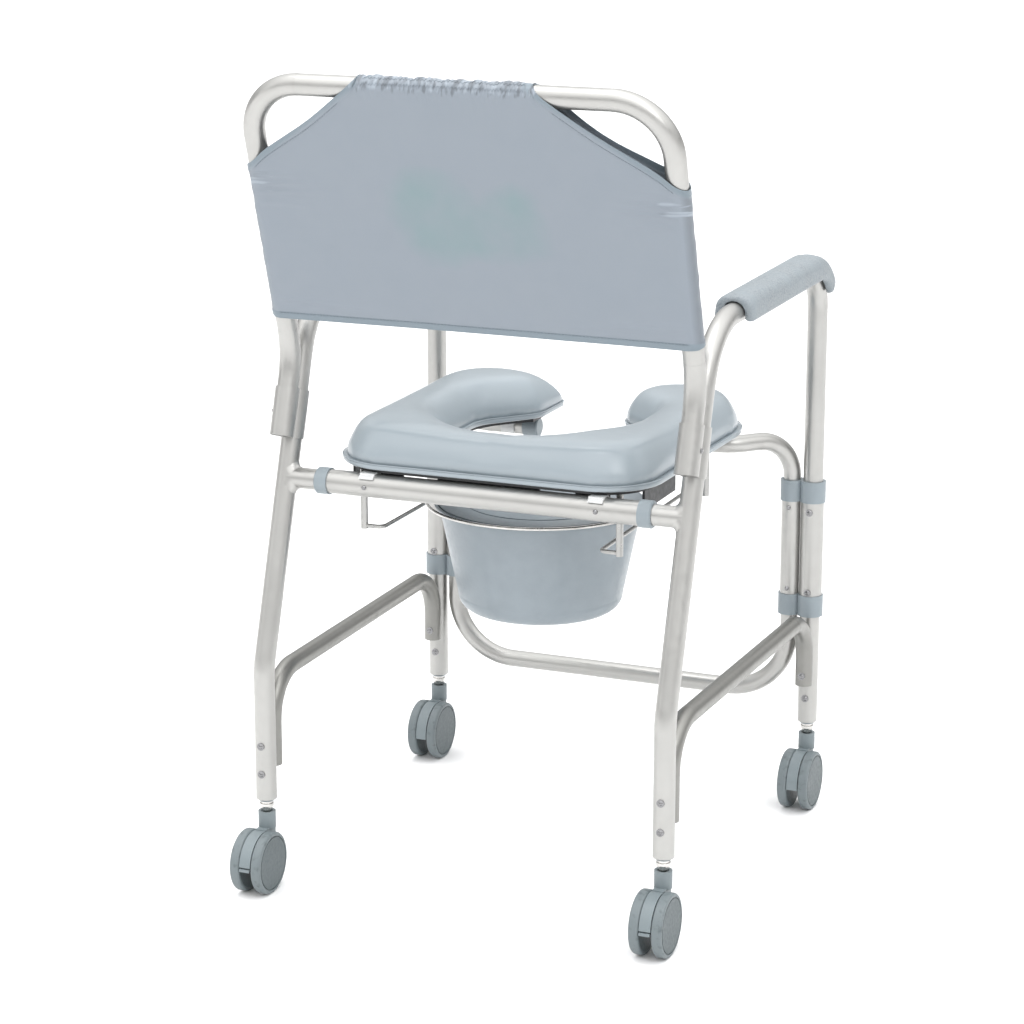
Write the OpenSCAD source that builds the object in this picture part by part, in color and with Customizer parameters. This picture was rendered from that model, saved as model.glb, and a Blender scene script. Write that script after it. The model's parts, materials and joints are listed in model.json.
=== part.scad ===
// Commode chair: a bent aluminium tube frame on twin-wheel casters, with a padded open-front seat,
// a lift-off fabric back and a lidded pail that slides out rearward on two wire rails.
// Millimetres. The origin is on the floor under the middle of the chair. The sitter faces -Y,
// and "left" is the sitter's left hand, on +X.

/* [Frame] */
// Outside diameter of the side tubes and the back tube
tube_d = 25; // [24.8:0.1:25.2]
// Outside diameter of the braces, the seat arms and the lower cross tube
small_tube_d = 22; // [21.8:0.1:22.2]
// Wall thickness of the tubes
tube_wall = 1.6; // [1.4:0.1:1.8]
// Half the distance between the rear legs
rear_half = 251.5; // [250:0.5:253]
// Half the distance between the front legs
front_half = 259; // [258:0.5:261]
// Y of the rear legs
rear_y = 239; // [237:1:241]
// Distance from the rear legs to the front legs
wheelbase = 524; // [520:1:528]
// Height of the cut lower ends of the legs
leg_end_z = 108.7; // [108:0.1:110]
// Height at which the rear legs bend forward
knee_z = 271; // [269:1:273]
// Forward lean of the rear legs above the knee, in degrees
leg_lean = 17.8; // [17.6:0.1:18]
// Height of the arm rails at their rear bend
arm_rear_z = 695; // [693:1:697]
// Height of the arm rails at their front bend
arm_front_z = 703; // [701:1:705]
// Height of the straight runs of the side braces
brace_z = 255; // [253:1:257]

/* [Crossbar] */
// Outside diameter of the middle tube of the crossbar
crossbar_d = 28.6; // [28.5:0.1:28.8]
// Height of the crossbar's axis
crossbar_z = 488; // [487:0.5:489]
// Half the length of the middle tube
crossbar_half = 205; // [203:1:207]
// Distance of the locking buttons from the middle plane
crossbar_button_x = 144.4; // [143:0.1:146]

/* [Back] */
// Backward rake of the back frame above its bend, in degrees
back_rake = 17.2; // [17:0.1:17.4]
// Height of the bend above the sockets
back_bend_z = 636; // [635:1:638]
// Height of the top bar's axis
back_top_z = 962; // [960:1:964]
// Distance between the two barrels of a back socket
socket_pitch = 27; // [27:0.1:27.4]
// Length of the back sockets
socket_len = 58; // [56:1:60]
// Thickness of the back fabric
fabric_t = 1.3; // [1.2:0.1:1.4]

/* [Front] */
// Half the distance between the two small tubes beside the front legs
inner_half = 231.5; // [231:0.1:231.6]
// Height of the lower cross tube
lower_cross_z = 143; // [140:1:146]
// Height of the level part of the seat arms
seat_arm_z = 480; // [479:0.5:481]
// Lower end of the twin sleeves
sleeve_bottom_z = 255; // [254:0.5:256]
// Upper end of the twin sleeves
sleeve_top_z = 423; // [422:0.5:424]

/* [Seat] */
// Half width of the seat at the rear
seat_rear_half = 198; // [196:1:200]
// Half width of the seat at the front
seat_front_half = 206; // [204:1:208]
// Radius of the seat's rear corners
seat_rear_r = 70; // [65:1:75]
// Radius of the seat's front corners
seat_front_r = 85; // [80:1:90]
// Underside of the cushion
cushion_z = 508.8; // [508.6:0.1:509]
// Thickness of the cushion
cushion_t = 50; // [48:0.5:51]
// Half width of the opening in the seat
hole_half = 110; // [108:1:112]
// Half width of the gap in the front of the seat
gap_half = 54; // [52:1:56]

/* [Pail] */
// Y of the pail's axis
pail_y = -10; // [-12:1:-8]
// Height of the flat top of the pail's rim
pail_rim_z = 438.5; // [437:0.1:440]
// Depth of the pail
pail_depth = 130; // [125:1:135]
// Radius of the pail's wall at the top
pail_top_r = 123.5; // [123:0.5:124]
// Radius of the pail's base
pail_base_r = 100.5; // [98:0.5:103]
// Half the distance between the rail wires
rail_half = 137; // [136.5:0.5:138]

/* [Casters] */
// Diameter of the wheels
wheel_d = 75; // [74.8:0.1:75]
// Width of one wheel
wheel_w = 12.4; // [12:0.1:12.6]
// Distance that the wheels trail behind the stem
trail = 25; // [24.5:0.5:25.5]
// Outside diameter of the barrel that turns on the stem
barrel_d = 21; // [20:0.5:21]

/* [Hidden] */
$fn = 64;

left = 1;
right = -1;
front_y = rear_y - wheelbase;
fit = 0.1;
small_gap = 0.2;
knee_r = 70;
arm_rear_r = 95;
arm_front_r = 55;
run_overlap = 0.5;
bend_swell = 1 / 80;
arm_rear_y = rear_y - tan(leg_lean) * (arm_rear_z - knee_z);
tube_bore = tube_d - 2 * tube_wall;
small_bore = small_tube_d - 2 * tube_wall;

// Braces
brace_bend_r = 55;
brace_nest = 19;
brace_rear_end_z = 146;
brace_front_end_z = 163;
rivet_high_z = 177;
rivet_low_z = 142;

// Crossbar
crossbar_y = rear_y - 70;
stub_inner_x = 128;
stub_outer_x = rear_half - 5;
collar_x = 194;
collar_len = 16;
collar_d = 32;

// Back frame and its sockets
socket_d = 28.6;
socket_z = 559.4;
socket_y = rear_y - tan(leg_lean) * (socket_z - knee_z);
back_tube_y = socket_y + socket_pitch * cos(leg_lean);
back_tube_z = socket_z + socket_pitch * sin(leg_lean);
back_bend_y = back_tube_y - tan(leg_lean) * (back_bend_z - back_tube_z);
back_top_y = back_bend_y + tan(back_rake) * (back_top_z - back_bend_z);
back_lower_r = 100;
back_corner_r = 65;
back_top_u = (back_top_z - back_bend_z) / cos(back_rake);
sleeve_inner_r = tube_d / 2 + 0.5;
sleeve_outer_r = sleeve_inner_r + fabric_t;
fabric_hem_u = 51.3;
fabric_side_u = 241.8;
fabric_top_half = 104;

// Front sleeves
leg_barrel_d = 28.8;
inner_barrel_d = 25.7;
cap_over = 4;
cap_wall = 1.8;
cap_len = 27;
upper_button_z = 392;
lower_button_z = 286;
sleeve_rivets_z = [388, 283];
cross_bend_r = 80;
seat_arm_r = 50;
seat_arm_turn = [170, rear_y - 455];
seat_arm_end_x = 88;
plug_len = 20;

// Arm pads
pad_w = 48;
pad_top = 20;
pad_low = -9;
pad_top_r = 13;
pad_low_r = 5;
pad_run = 258;
pad_wrap = 62;

// Buttons
button_d = 5.6;
button_hole_d = button_d + 2 * fit;
button_flange_d = 9;
button_flange_t = 1.2;
button_proud = 2;

// Seat
seat_rear_y = rear_y - 60;
seat_front_y = rear_y - 470;
hole_rear_y = 100;
hole_front_y = -151;
pan_z = 504;
pan_t = 4.5;
pan_inset = 10;
pan_flange_t = 3;
pan_rear_drop = 11;
pan_side_drop = 24;
pan_flanges = [[-150, -108], [-64, 64], [108, 150]];
clip_x = 143;
clip_w = 18;
clip_over = 4.6;
clip_reach = 8;
rear_clip_rise = 10;
gap_flare = [15, 4.5];
clip_leg = 9;
front_clip_x = 125;

// Pail and rails
pail_wall = 2.4;
pail_corner = 20;
pail_bead_r = 127.2;
wing_arc_y = 62.5;
wing_arc_r = 162.5;
wing_half = 148;
lid_r = 124.4;
lid_grip = [60, 22, 10];
rail_z = pail_rim_z - 6;
rail_d = 5;
rail_post_x = 161;
rail_post_d = 8.5;
rail_rear_y = rear_y - 91;
rail_front_y = rear_y - 392;
wing_z = rail_z + rail_d / 2 + 0.3;
handle_r = 134.5;
handle_z = pail_rim_z + 4.5;
handle_d = 4;

// Casters
wheel_r = wheel_d / 2;
hood_half = 7;
wheel_gap = 0.6;
axle_d = 6;
stem_d = 10;
barrel_top_z = 93;
barrel_bottom_z = 72;
hood_r = 36.3;
brake_pivot = [46, 45];
brake_pin_d = 3;
rear_left = [rear_half, rear_y, 0];
rear_right = [-rear_half, rear_y, 0];
front_left = [front_half, front_y, 0];
front_right = [-front_half, front_y, 0];
casters = [rear_left, rear_right, front_left, front_right];

// Colours
silver = [0.84, 0.84, 0.82];
caster_grey = [0.55, 0.6, 0.62];
trim_grey = [0.57, 0.62, 0.65];
vinyl = [0.67, 0.73, 0.77];
cloth = [0.65, 0.7, 0.74];
pail_grey = [0.64, 0.68, 0.71];
steel = [0.75, 0.75, 0.76];
black = [0.12, 0.12, 0.13];

// ---------- bent rods and tubes ----------

function unit(v) = v / norm(v);
function tidy(x) = round(x * 100) / 100;
function run_direction(p, i) = unit(p[i + 1] - p[i]);
function turn_angle(p, i) = acos(run_direction(p, i) * run_direction(p, i + 1));

// Length that the bend between run i and run i + 1 takes off each of them.
function setback(p, r, i) = r[i] * tan(turn_angle(p, i) / 2);

// Direction, square to run i, in which the tube turns at the end of that run.
function turn_side(p, i) =
  let (u = run_direction(p, i), v = run_direction(p, i + 1)) unit(v - u * (u * v));

// Angle about run i + 1 from the plane of the bend before it to the plane of the bend after it.
function bend_roll(p, i) =
  let (u = run_direction(p, i), v = run_direction(p, i + 1), a = turn_angle(p, i))
  let (x = turn_side(p, i) * cos(a) - u * sin(a), n = turn_side(p, i + 1))
  atan2(cross(x, n) * v, x * n);

module rod(a, b, d) {
  v = b - a;
  translate(a) rotate([0, acos(v.z / norm(v)), atan2(v.y, v.x)]) cylinder(d = d, h = norm(v));
}

// Runs i and up of a round bar, in a frame with Z along the run and X to the side that it turns to.
// Each run reaches a little way into its bends, which swell a hair as drawn tube does, and over
// lengthens both ends.
module solid_runs(p, r, d, over, i, used) {
  inner = i < len(p) - 2;
  trim = inner ? setback(p, r, i) : 0;
  length = tidy(norm(p[i + 1] - p[i]) - used - trim);
  start = i == 0 ? over : run_overlap;
  end = inner ? run_overlap : over;
  translate([0, 0, -start]) cylinder(d = d, h = length + start + end);
  if (inner) {
    angle = tidy(turn_angle(p, i));
    translate([r[i], 0, length]) {
      multmatrix([[-1, 0, 0, 0], [0, 0, 1, 0], [0, 1, 0, 0]])
        rotate_extrude(angle = angle, $fn = 96) translate([r[i], 0]) circle(d = d * (1 + bend_swell));
      rotate([0, angle, 0]) translate([-r[i], 0, 0])
        rotate([0, 0, i < len(p) - 3 ? tidy(bend_roll(p, i)) : 0])
          solid_runs(p, r, d, over, i + 1, trim);
    }
  }
}

// Round bar through the points p, with a bend of radius r[i] at the i-th inner point.
module bent_bar(p, r, d, over) {
  z = run_direction(p, 0);
  x = turn_side(p, 0);
  y = cross(z, x);
  translate(p[0]) multmatrix([[x.x, y.x, z.x, 0], [x.y, y.y, z.y, 0], [x.z, y.z, z.z, 0]])
    solid_runs(p, r, d, over, 0, 0);
}

module bent_tube(p, r, d, bore) {
  difference() {
    bent_bar(p, r, d, 0);
    bent_bar(p, r, bore, 1);
  }
}

// ---------- side frames ----------

side_radii = [knee_r, arm_rear_r, arm_front_r];
function side_path(s) = [
  [s * rear_half, rear_y, leg_end_z],
  [s * rear_half, rear_y, knee_z],
  [s * rear_half, arm_rear_y, arm_rear_z],
  [s * front_half, front_y, arm_front_z],
  [s * front_half, front_y, leg_end_z]];

// Chamfer around the cut end of a leg.
module leg_end_chamfer(p) {
  translate([p.x, p.y, leg_end_z]) difference() {
    translate([0, 0, -1]) cylinder(d = tube_d + 4, h = 2.5);
    translate([0, 0, -1.5]) cylinder(d1 = tube_d - 4.4, d2 = tube_d + 1.6, h = 3);
  }
}

module side_tube(s) {
  color(silver) difference() {
    bent_tube(side_path(s), side_radii, tube_d, tube_bore);
    leg_end_chamfer(side_path(s)[0]);
    leg_end_chamfer(side_path(s)[4]);
  }
}

// Straight bars along the legs, for cutting what is welded or riveted to them.
module leg_bars(s, d) {
  translate([s * rear_half, rear_y, 0]) cylinder(d = d, h = knee_z);
  translate([s * front_half, front_y, 0]) cylinder(d = d, h = arm_front_z);
}

module leaning_bar(s, d) {
  rod([s * rear_half, rear_y, knee_z], [s * rear_half, arm_rear_y, arm_rear_z], d);
}

module side_brace(s) {
  rear_x = s * rear_half;
  front_x = s * front_half;
  path = [
    [rear_x, rear_y - brace_nest, brace_rear_end_z],
    [rear_x, rear_y - brace_nest, brace_z],
    [front_x, front_y + brace_nest, brace_z],
    [front_x, front_y + brace_nest, brace_front_end_z]];
  color(silver) difference() {
    bent_tube(path, [brace_bend_r, brace_bend_r], small_tube_d, small_bore);
    leg_bars(s, tube_d + small_gap);
  }
}

// Rivet with a washer. Z points out of the surface, which lies at z = 0.
module rivet_head() {
  translate([0, 0, -1.6]) cylinder(d = 9.5, h = 2.3, $fn = 32);
  intersection() {
    translate([0, 0, -2]) sphere(d = 8, $fn = 32);
    cylinder(d = 6.5, h = 3, $fn = 32);
  }
}

module facing_rear(p) {
  translate(p) rotate([-90, 0, 0]) children();
}

module brace_rivets() {
  color(steel) for (s = [left, right]) {
    difference() {
      union() {
        facing_rear([s * rear_half, rear_y + tube_d / 2, rivet_high_z]) rivet_head();
        facing_rear([s * rear_half, rear_y + tube_d / 2, rivet_low_z]) rivet_head();
        facing_rear([s * front_half, front_y + tube_d / 2, rivet_low_z]) rivet_head();
      }
      leg_bars(s, tube_d);
    }
    translate([s * front_half, front_y + brace_nest, 0]) difference() {
      facing_rear([0, small_tube_d / 2, rivet_high_z]) rivet_head();
      translate([0, 0, brace_front_end_z]) cylinder(d = small_tube_d, h = 30);
    }
  }
}

module leg_inserts() {
  color(trim_grey) for (p = casters) translate([p.x, p.y, 0]) difference() {
    union() {
      translate([0, 0, leg_end_z]) cylinder(d = tube_bore - fit, h = 42);
      translate([0, 0, leg_end_z - 2.2]) cylinder(d = 18.5, h = 2.2);
    }
    translate([0, 0, leg_end_z - 3]) cylinder(d = stem_d, h = 50);
  }
}

// ---------- crossbar ----------

// Spring button. Z points out along its travel, z = 0 is the axis of its tube.
module snap_button(bore, outer_r) {
  base = sqrt(pow(bore / 2, 2) - pow(button_flange_d / 2, 2)) - button_flange_t - fit;
  tip = outer_r + button_proud;
  translate([0, 0, base]) cylinder(d = button_flange_d, h = button_flange_t, $fn = 32);
  translate([0, 0, base]) cylinder(d = button_d, h = tip - 1.1 - base, $fn = 32);
  translate([0, 0, tip - 1.1]) cylinder(d1 = button_d, d2 = button_d - 2, h = 1.1, $fn = 32);
}

module button_hole() {
  cylinder(d = button_hole_d, h = 30, $fn = 32);
}

module along_x(p) {
  translate(p) rotate([0, 90, 0]) children();
}

// Stub that is mitred and welded to the leg.
module crossbar_stubs() {
  color(silver) for (s = [left, right]) difference() {
    rod([s * stub_inner_x, crossbar_y, crossbar_z], [s * stub_outer_x, crossbar_y, crossbar_z], tube_d);
    rod([s * (stub_inner_x - 1), crossbar_y, crossbar_z], [s * 222, crossbar_y, crossbar_z], tube_bore);
    leaning_bar(s, tube_d + small_gap);
    facing_rear([s * crossbar_button_x, crossbar_y, crossbar_z]) button_hole();
  }
}

module rear_crossbar() {
  color(silver) difference() {
    along_x([-crossbar_half, crossbar_y, crossbar_z]) cylinder(d = crossbar_d, h = 2 * crossbar_half);
    along_x([-crossbar_half - 1, crossbar_y, crossbar_z])
      cylinder(d = crossbar_d - 2 * tube_wall, h = 2 * crossbar_half + 2);
    for (s = [left, right]) facing_rear([s * crossbar_button_x, crossbar_y, crossbar_z]) button_hole();
  }
}

module crossbar_collars() {
  color(trim_grey) for (s = [left, right])
    translate([s * collar_x, crossbar_y, crossbar_z]) rotate([0, s * 90, 0]) difference() {
      union() {
        cylinder(d = collar_d, h = collar_len - 1.5);
        translate([0, 0, collar_len - 1.5]) cylinder(d1 = collar_d, d2 = collar_d - 3, h = 1.5);
      }
      translate([0, 0, -1]) cylinder(d = crossbar_d, h = crossbar_half - collar_x + 1);
      cylinder(d = tube_d + small_gap, h = collar_len + 1);
    }
}

module crossbar_button(s) {
  color(steel) facing_rear([s * crossbar_button_x, crossbar_y, crossbar_z])
    snap_button(tube_bore, crossbar_d / 2);
}

// ---------- front sleeves, lower cross tube and seat arms ----------

// Outline of a twin sleeve seen from above, grown by grow.
module twin_outline(s, grow) {
  translate([s * front_half, front_y]) circle(d = leg_barrel_d + 2 * grow);
  translate([s * inner_half, front_y]) circle(d = inner_barrel_d + 2 * grow);
  translate([s * (front_half + inner_half) / 2, front_y])
    square([front_half - inner_half, 6 + 2 * grow], center = true);
}

module front_sleeve(s) {
  color(silver) difference() {
    translate([0, 0, sleeve_bottom_z]) linear_extrude(sleeve_top_z - sleeve_bottom_z) twin_outline(s, 0);
    translate([s * front_half, front_y, 0]) cylinder(d = tube_d + small_gap, h = 600);
    translate([s * inner_half, front_y, 0]) cylinder(d = small_tube_d + small_gap, h = 600);
    for (z = [upper_button_z, lower_button_z]) facing_rear([s * inner_half, front_y, z]) button_hole();
  }
}

module sleeve_end_caps() {
  low_z = sleeve_bottom_z - cap_over;
  high_z = sleeve_top_z + cap_over - cap_len;
  color(trim_grey) for (s = [left, right], z = [low_z, high_z])
    difference() {
      translate([0, 0, z]) linear_extrude(cap_len) twin_outline(s, cap_wall);
      translate([0, 0, sleeve_bottom_z]) linear_extrude(sleeve_top_z - sleeve_bottom_z) twin_outline(s, 0);
      translate([s * front_half, front_y, 0]) cylinder(d = tube_d + small_gap, h = 600);
      translate([s * inner_half, front_y, 0]) cylinder(d = small_tube_d + small_gap, h = 600);
    }
}

module sleeve_button(s, z) {
  color(steel) facing_rear([s * inner_half, front_y, z]) snap_button(small_bore, inner_barrel_d / 2);
}

module lower_cross_tube() {
  end_z = lower_button_z + 45;
  color(silver) difference() {
    bent_tube([[-inner_half, front_y, end_z], [-inner_half, front_y, lower_cross_z],
      [inner_half, front_y, lower_cross_z], [inner_half, front_y, end_z]],
      [cross_bend_r, cross_bend_r], small_tube_d, small_bore);
    for (s = [left, right]) facing_rear([s * inner_half, front_y, lower_button_z]) button_hole();
  }
}

module seat_arm(s) {
  color(silver) difference() {
    bent_tube([[s * inner_half, front_y, upper_button_z - 45], [s * inner_half, front_y, seat_arm_z],
      [s * seat_arm_turn.x, seat_arm_turn.y, seat_arm_z], [s * seat_arm_end_x, seat_arm_turn.y, seat_arm_z]],
      [seat_arm_r, seat_arm_r], small_tube_d, small_bore);
    facing_rear([s * inner_half, front_y, upper_button_z]) button_hole();
  }
}

module seat_arm_plugs() {
  color(trim_grey) for (s = [left, right])
    translate([s * (seat_arm_end_x - 3), seat_arm_turn.y, seat_arm_z]) rotate([0, s * 90, 0]) difference() {
      union() {
        cylinder(d1 = small_tube_d, d2 = small_tube_d + 3, h = 1.5);
        translate([0, 0, 1.5]) cylinder(d = small_tube_d + 3, h = plug_len - 1.5);
      }
      translate([0, 0, 3]) cylinder(d = small_tube_d, h = plug_len);
    }
}

// ---------- back ----------

// Frame of a back socket: Z runs up along the leaning leg, Y points rearward.
module socket_frame(s) {
  translate([s * rear_half, socket_y, socket_z]) rotate([leg_lean, 0, 0]) children();
}

module back_socket(s) {
  color(silver) socket_frame(s) difference() {
    translate([0, 0, -socket_len / 2]) union() {
      cylinder(d = socket_d, h = socket_len);
      translate([0, socket_pitch, 0]) cylinder(d = socket_d, h = socket_len);
      translate([-5, 0, 0]) cube([10, socket_pitch, socket_len]);
    }
    translate([0, 0, -socket_len]) cylinder(d = tube_d + fit, h = 2 * socket_len);
    translate([0, socket_pitch, -socket_len]) cylinder(d = tube_d + fit, h = 2 * socket_len);
    translate([0, socket_pitch, 0]) rotate([0, s * 90, 0]) button_hole();
  }
}

module bracket_rivets() {
  color(steel) for (s = [left, right]) {
    socket_frame(s) for (z = [-17, 17]) difference() {
      translate([0, -socket_d / 2, z]) rotate([90, 0, 0]) rivet_head();
      cylinder(d = socket_d, h = 80, center = true);
    }
    for (z = sleeve_rivets_z) difference() {
      facing_rear([s * front_half, front_y + leg_barrel_d / 2, z]) rivet_head();
      translate([s * front_half, front_y, z]) cylinder(d = leg_barrel_d, h = 30, center = true);
    }
  }
}

module back_tube() {
  start = -socket_len / 2 + 2;
  low_y = back_tube_y - start * sin(leg_lean);
  low_z = back_tube_z + start * cos(leg_lean);
  color(silver) difference() {
    bent_tube([[rear_half, low_y, low_z], [rear_half, back_bend_y, back_bend_z],
      [rear_half, back_top_y, back_top_z], [-rear_half, back_top_y, back_top_z],
      [-rear_half, back_bend_y, back_bend_z], [-rear_half, low_y, low_z]],
      [back_lower_r, back_corner_r, back_corner_r, back_lower_r], tube_d, tube_bore);
    for (s = [left, right])
      socket_frame(s) translate([0, socket_pitch, 0]) rotate([0, s * 90, 0]) button_hole();
  }
}

module back_button(s) {
  color(steel) socket_frame(s) translate([0, socket_pitch, 0]) rotate([0, s * 90, 0])
    snap_button(tube_bore, socket_d / 2);
}

// Sleeve that wraps both uprights and the top bar, in the plane of the raked back: Z runs up it.
module sleeve_envelope(r, low) {
  height = back_top_u - low;
  translate([-rear_half, -r, low]) cube([2 * rear_half, 2 * r, height]);
  for (s = [left, right]) translate([s * rear_half, 0, low]) cylinder(r = r, h = height);
  along_x([-rear_half, 0, back_top_u]) cylinder(r = r, h = 2 * rear_half);
}

module back_upholstery() {
  side = rear_half + sleeve_outer_r + 1;
  color(cloth) translate([0, back_bend_y, back_bend_z]) rotate([-back_rake, 0, 0]) difference() {
    intersection() {
      sleeve_envelope(sleeve_outer_r, fabric_hem_u);
      rotate([90, 0, 0]) linear_extrude(60, center = true) polygon([
        [-side, fabric_hem_u], [side, fabric_hem_u], [side, fabric_side_u],
        [fabric_top_half, back_top_u + sleeve_outer_r], [-fabric_top_half, back_top_u + sleeve_outer_r],
        [-side, fabric_side_u]]);
    }
    sleeve_envelope(sleeve_inner_r, fabric_hem_u - 5);
  }
}

// ---------- arm pads ----------

// Cross-section of an arm pad, X up from the rail's axis, with the channel that the rail lies in.
module pad_section() {
  half = pad_w / 2;
  difference() {
    union() {
      translate([pad_low + pad_low_r, -half]) square([pad_top - pad_top_r - pad_low - pad_low_r, pad_w]);
      translate([pad_low, pad_low_r - half]) square([pad_top - pad_top_r - pad_low, pad_w - 2 * pad_low_r]);
      translate([pad_low + pad_low_r, pad_top_r - half])
        square([pad_top - pad_low - pad_low_r, pad_w - 2 * pad_top_r]);
      for (v = [-1, 1]) {
        translate([pad_low + pad_low_r, v * (half - pad_low_r)]) circle(r = pad_low_r);
        translate([pad_top - pad_top_r, v * (half - pad_top_r)]) circle(r = pad_top_r);
      }
    }
    circle(d = tube_d + 2 * small_gap);
  }
}

module arm_pad(s) {
  p = side_path(s);
  u = run_direction(p, 2);
  n = turn_side(p, 2);
  w = cross(-n, u);
  o = p[3] - u * setback(p, side_radii, 2) + n * arm_front_r;
  color(cloth) multmatrix([[-n.x, u.x, w.x, o.x], [-n.y, u.y, w.y, o.y], [-n.z, u.z, w.z, o.z]]) {
    rotate_extrude(angle = pad_wrap, $fn = 96) translate([arm_front_r, 0]) pad_section();
    translate([arm_front_r, 0, 0]) rotate([90, 0, 0]) linear_extrude(pad_run) pad_section();
  }
}

// ---------- seat ----------

module seat_corners(inset) {
  for (s = [left, right]) {
    translate([s * (seat_rear_half - seat_rear_r), seat_rear_y - seat_rear_r])
      circle(r = seat_rear_r - inset);
    translate([s * (seat_front_half - seat_front_r), seat_front_y + seat_front_r])
      circle(r = seat_front_r - inset);
  }
}

// Gap in the front of the seat, with its mouth eased open where the horns end.
module front_gap(half, mouth_y) {
  wide = half + gap_flare[0];
  near = half + gap_flare[1];
  polygon([[wide, mouth_y - 1], [wide, mouth_y], [near, mouth_y + gap_flare[1]],
    [half, mouth_y + gap_flare[0]], [half, mouth_y + 130], [-half, mouth_y + 130],
    [-half, mouth_y + gap_flare[0]], [-near, mouth_y + gap_flare[1]], [-wide, mouth_y],
    [-wide, mouth_y - 1]]);
}

// Outline of the seat seen from above: an open-front ring, drawn in by inset.
module seat_outline(inset) {
  rear_x = seat_rear_half - inset;
  front_x = seat_front_half - inset;
  rear_corner = seat_rear_half - seat_rear_r;
  front_corner = seat_front_half - seat_front_r;
  hole_r = hole_half + inset;
  difference() {
    union() {
      seat_corners(inset);
      polygon([[rear_corner, seat_rear_y - inset], [-rear_corner, seat_rear_y - inset],
        [-rear_x, seat_rear_y - seat_rear_r], [-front_x, seat_front_y + seat_front_r],
        [-front_corner, seat_front_y + inset], [front_corner, seat_front_y + inset],
        [front_x, seat_front_y + seat_front_r], [rear_x, seat_rear_y - seat_rear_r]]);
    }
    translate([0, hole_rear_y - hole_half]) circle(r = hole_r);
    translate([0, hole_front_y + hole_half]) circle(r = hole_r);
    translate([-hole_r, hole_front_y + hole_half])
      square([2 * hole_r, hole_rear_y - hole_front_y - 2 * hole_half]);
    front_gap(gap_half + inset, seat_front_y + inset);
  }
}

module seat_cushion() {
  color(vinyl) translate([0, 0, cushion_z]) linear_extrude(cushion_t) seat_outline(0);
}

// Black seat pan: a flat plate with a ribbed rear flange and a deep flange along each side.
module seat_pan() {
  flange_y = crossbar_y - crossbar_d / 2 - 5;
  side_x = seat_rear_half - pan_inset - 4;
  color(black) {
    translate([0, 0, pan_z]) linear_extrude(pan_t) seat_outline(pan_inset);
    for (x = pan_flanges) translate([x[0], flange_y, pan_z - pan_rear_drop])
      cube([x[1] - x[0], pan_flange_t, pan_rear_drop + 1]);
    for (s = [left, right])
      translate([s * side_x - (s > 0 ? pan_flange_t : 0), rear_y - 215, pan_z - pan_side_drop])
        cube([pan_flange_t, 105, pan_side_drop + 1]);
  }
}

// Saddle clip between the pan and a level tube along X, cut off at the given height above its axis.
module saddle_clip(p, d, cut) {
  difference() {
    union() {
      along_x(p - [clip_w / 2, 0, 0]) cylinder(d = d + clip_over, h = clip_w);
      translate(p - [clip_w / 2, clip_leg, 0]) cube([clip_w, 2 * clip_leg, pan_z - p.z]);
    }
    along_x(p - [clip_w, 0, 0]) cylinder(d = d + 2 * small_gap, h = 2 * clip_w);
    translate(p + [-clip_w, -30, cut - 30]) cube([2 * clip_w, 60, 30]);
    translate([p.x - clip_w, p.y - 30, pan_z]) cube([2 * clip_w, 60, 10]);
  }
}

// The rear pair only caps the crossbar, so that its buttons can be pressed.
module seat_clips() {
  color([0.86, 0.87, 0.87]) for (s = [left, right]) {
    saddle_clip([s * clip_x, crossbar_y, crossbar_z], crossbar_d, rear_clip_rise);
    saddle_clip([s * front_clip_x, seat_arm_turn.y, seat_arm_z], small_tube_d, -clip_reach);
  }
}

// ---------- pail and its rails ----------

module pail_rail(s) {
  foot_z = rail_z - rail_d / 2 - 1;
  color(silver) {
    for (y = [rail_rear_y, rail_front_y])
      translate([s * rail_post_x, y, foot_z]) cylinder(d = rail_post_d, h = pan_z - foot_z);
    bent_bar([[s * rail_post_x, rail_rear_y, rail_z], [s * rail_half, rail_rear_y, rail_z],
      [s * rail_half, rail_front_y, rail_z], [s * rail_post_x, rail_front_y, rail_z]], [9, 9], rail_d, 0);
  }
}

// Profile of the pail's wall, drawn in by inset.
module pail_profile(inset) {
  base_z = pail_rim_z - pail_depth;
  polygon([[0, base_z + inset], [pail_base_r - pail_corner, base_z + inset],
    [pail_base_r - inset, base_z + pail_corner], [pail_top_r - inset, pail_rim_z], [0, pail_rim_z]]);
  intersection() {
    translate([pail_base_r - pail_corner, base_z + pail_corner]) circle(r = pail_corner - inset);
    square([pail_base_r, pail_rim_z]);
  }
}

module pail() {
  color(pail_grey) translate([0, pail_y, 0]) difference() {
    union() {
      rotate_extrude($fn = 96) pail_profile(0);
      translate([0, 0, wing_z]) linear_extrude(pail_rim_z - wing_z) {
        circle(r = pail_bead_r);
        intersection() {
          translate([0, wing_arc_y]) circle(r = wing_arc_r);
          translate([0, -wing_arc_y]) circle(r = wing_arc_r);
          square([2 * wing_half, 2 * wing_half], center = true);
        }
      }
      rotate_extrude($fn = 96) translate([pail_bead_r, pail_rim_z]) circle(r = 2, $fn = 32);
      for (s = [left, right]) translate([s * 140.5, 0, 0]) {
        translate([-2, -4, pail_rim_z - 1]) cube([4, 8, handle_z - pail_rim_z + 1]);
        along_x([-2, 0, handle_z]) cylinder(d = 8, h = 4, $fn = 32);
      }
    }
    rotate_extrude($fn = 96) pail_profile(pail_wall);
    translate([0, 0, pail_rim_z - 0.5]) cylinder(r = pail_top_r - pail_wall, h = 1, $fn = 96);
    along_x([-160, 0, handle_z]) cylinder(d = handle_d + fit, h = 320, $fn = 32);
  }
}

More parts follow.
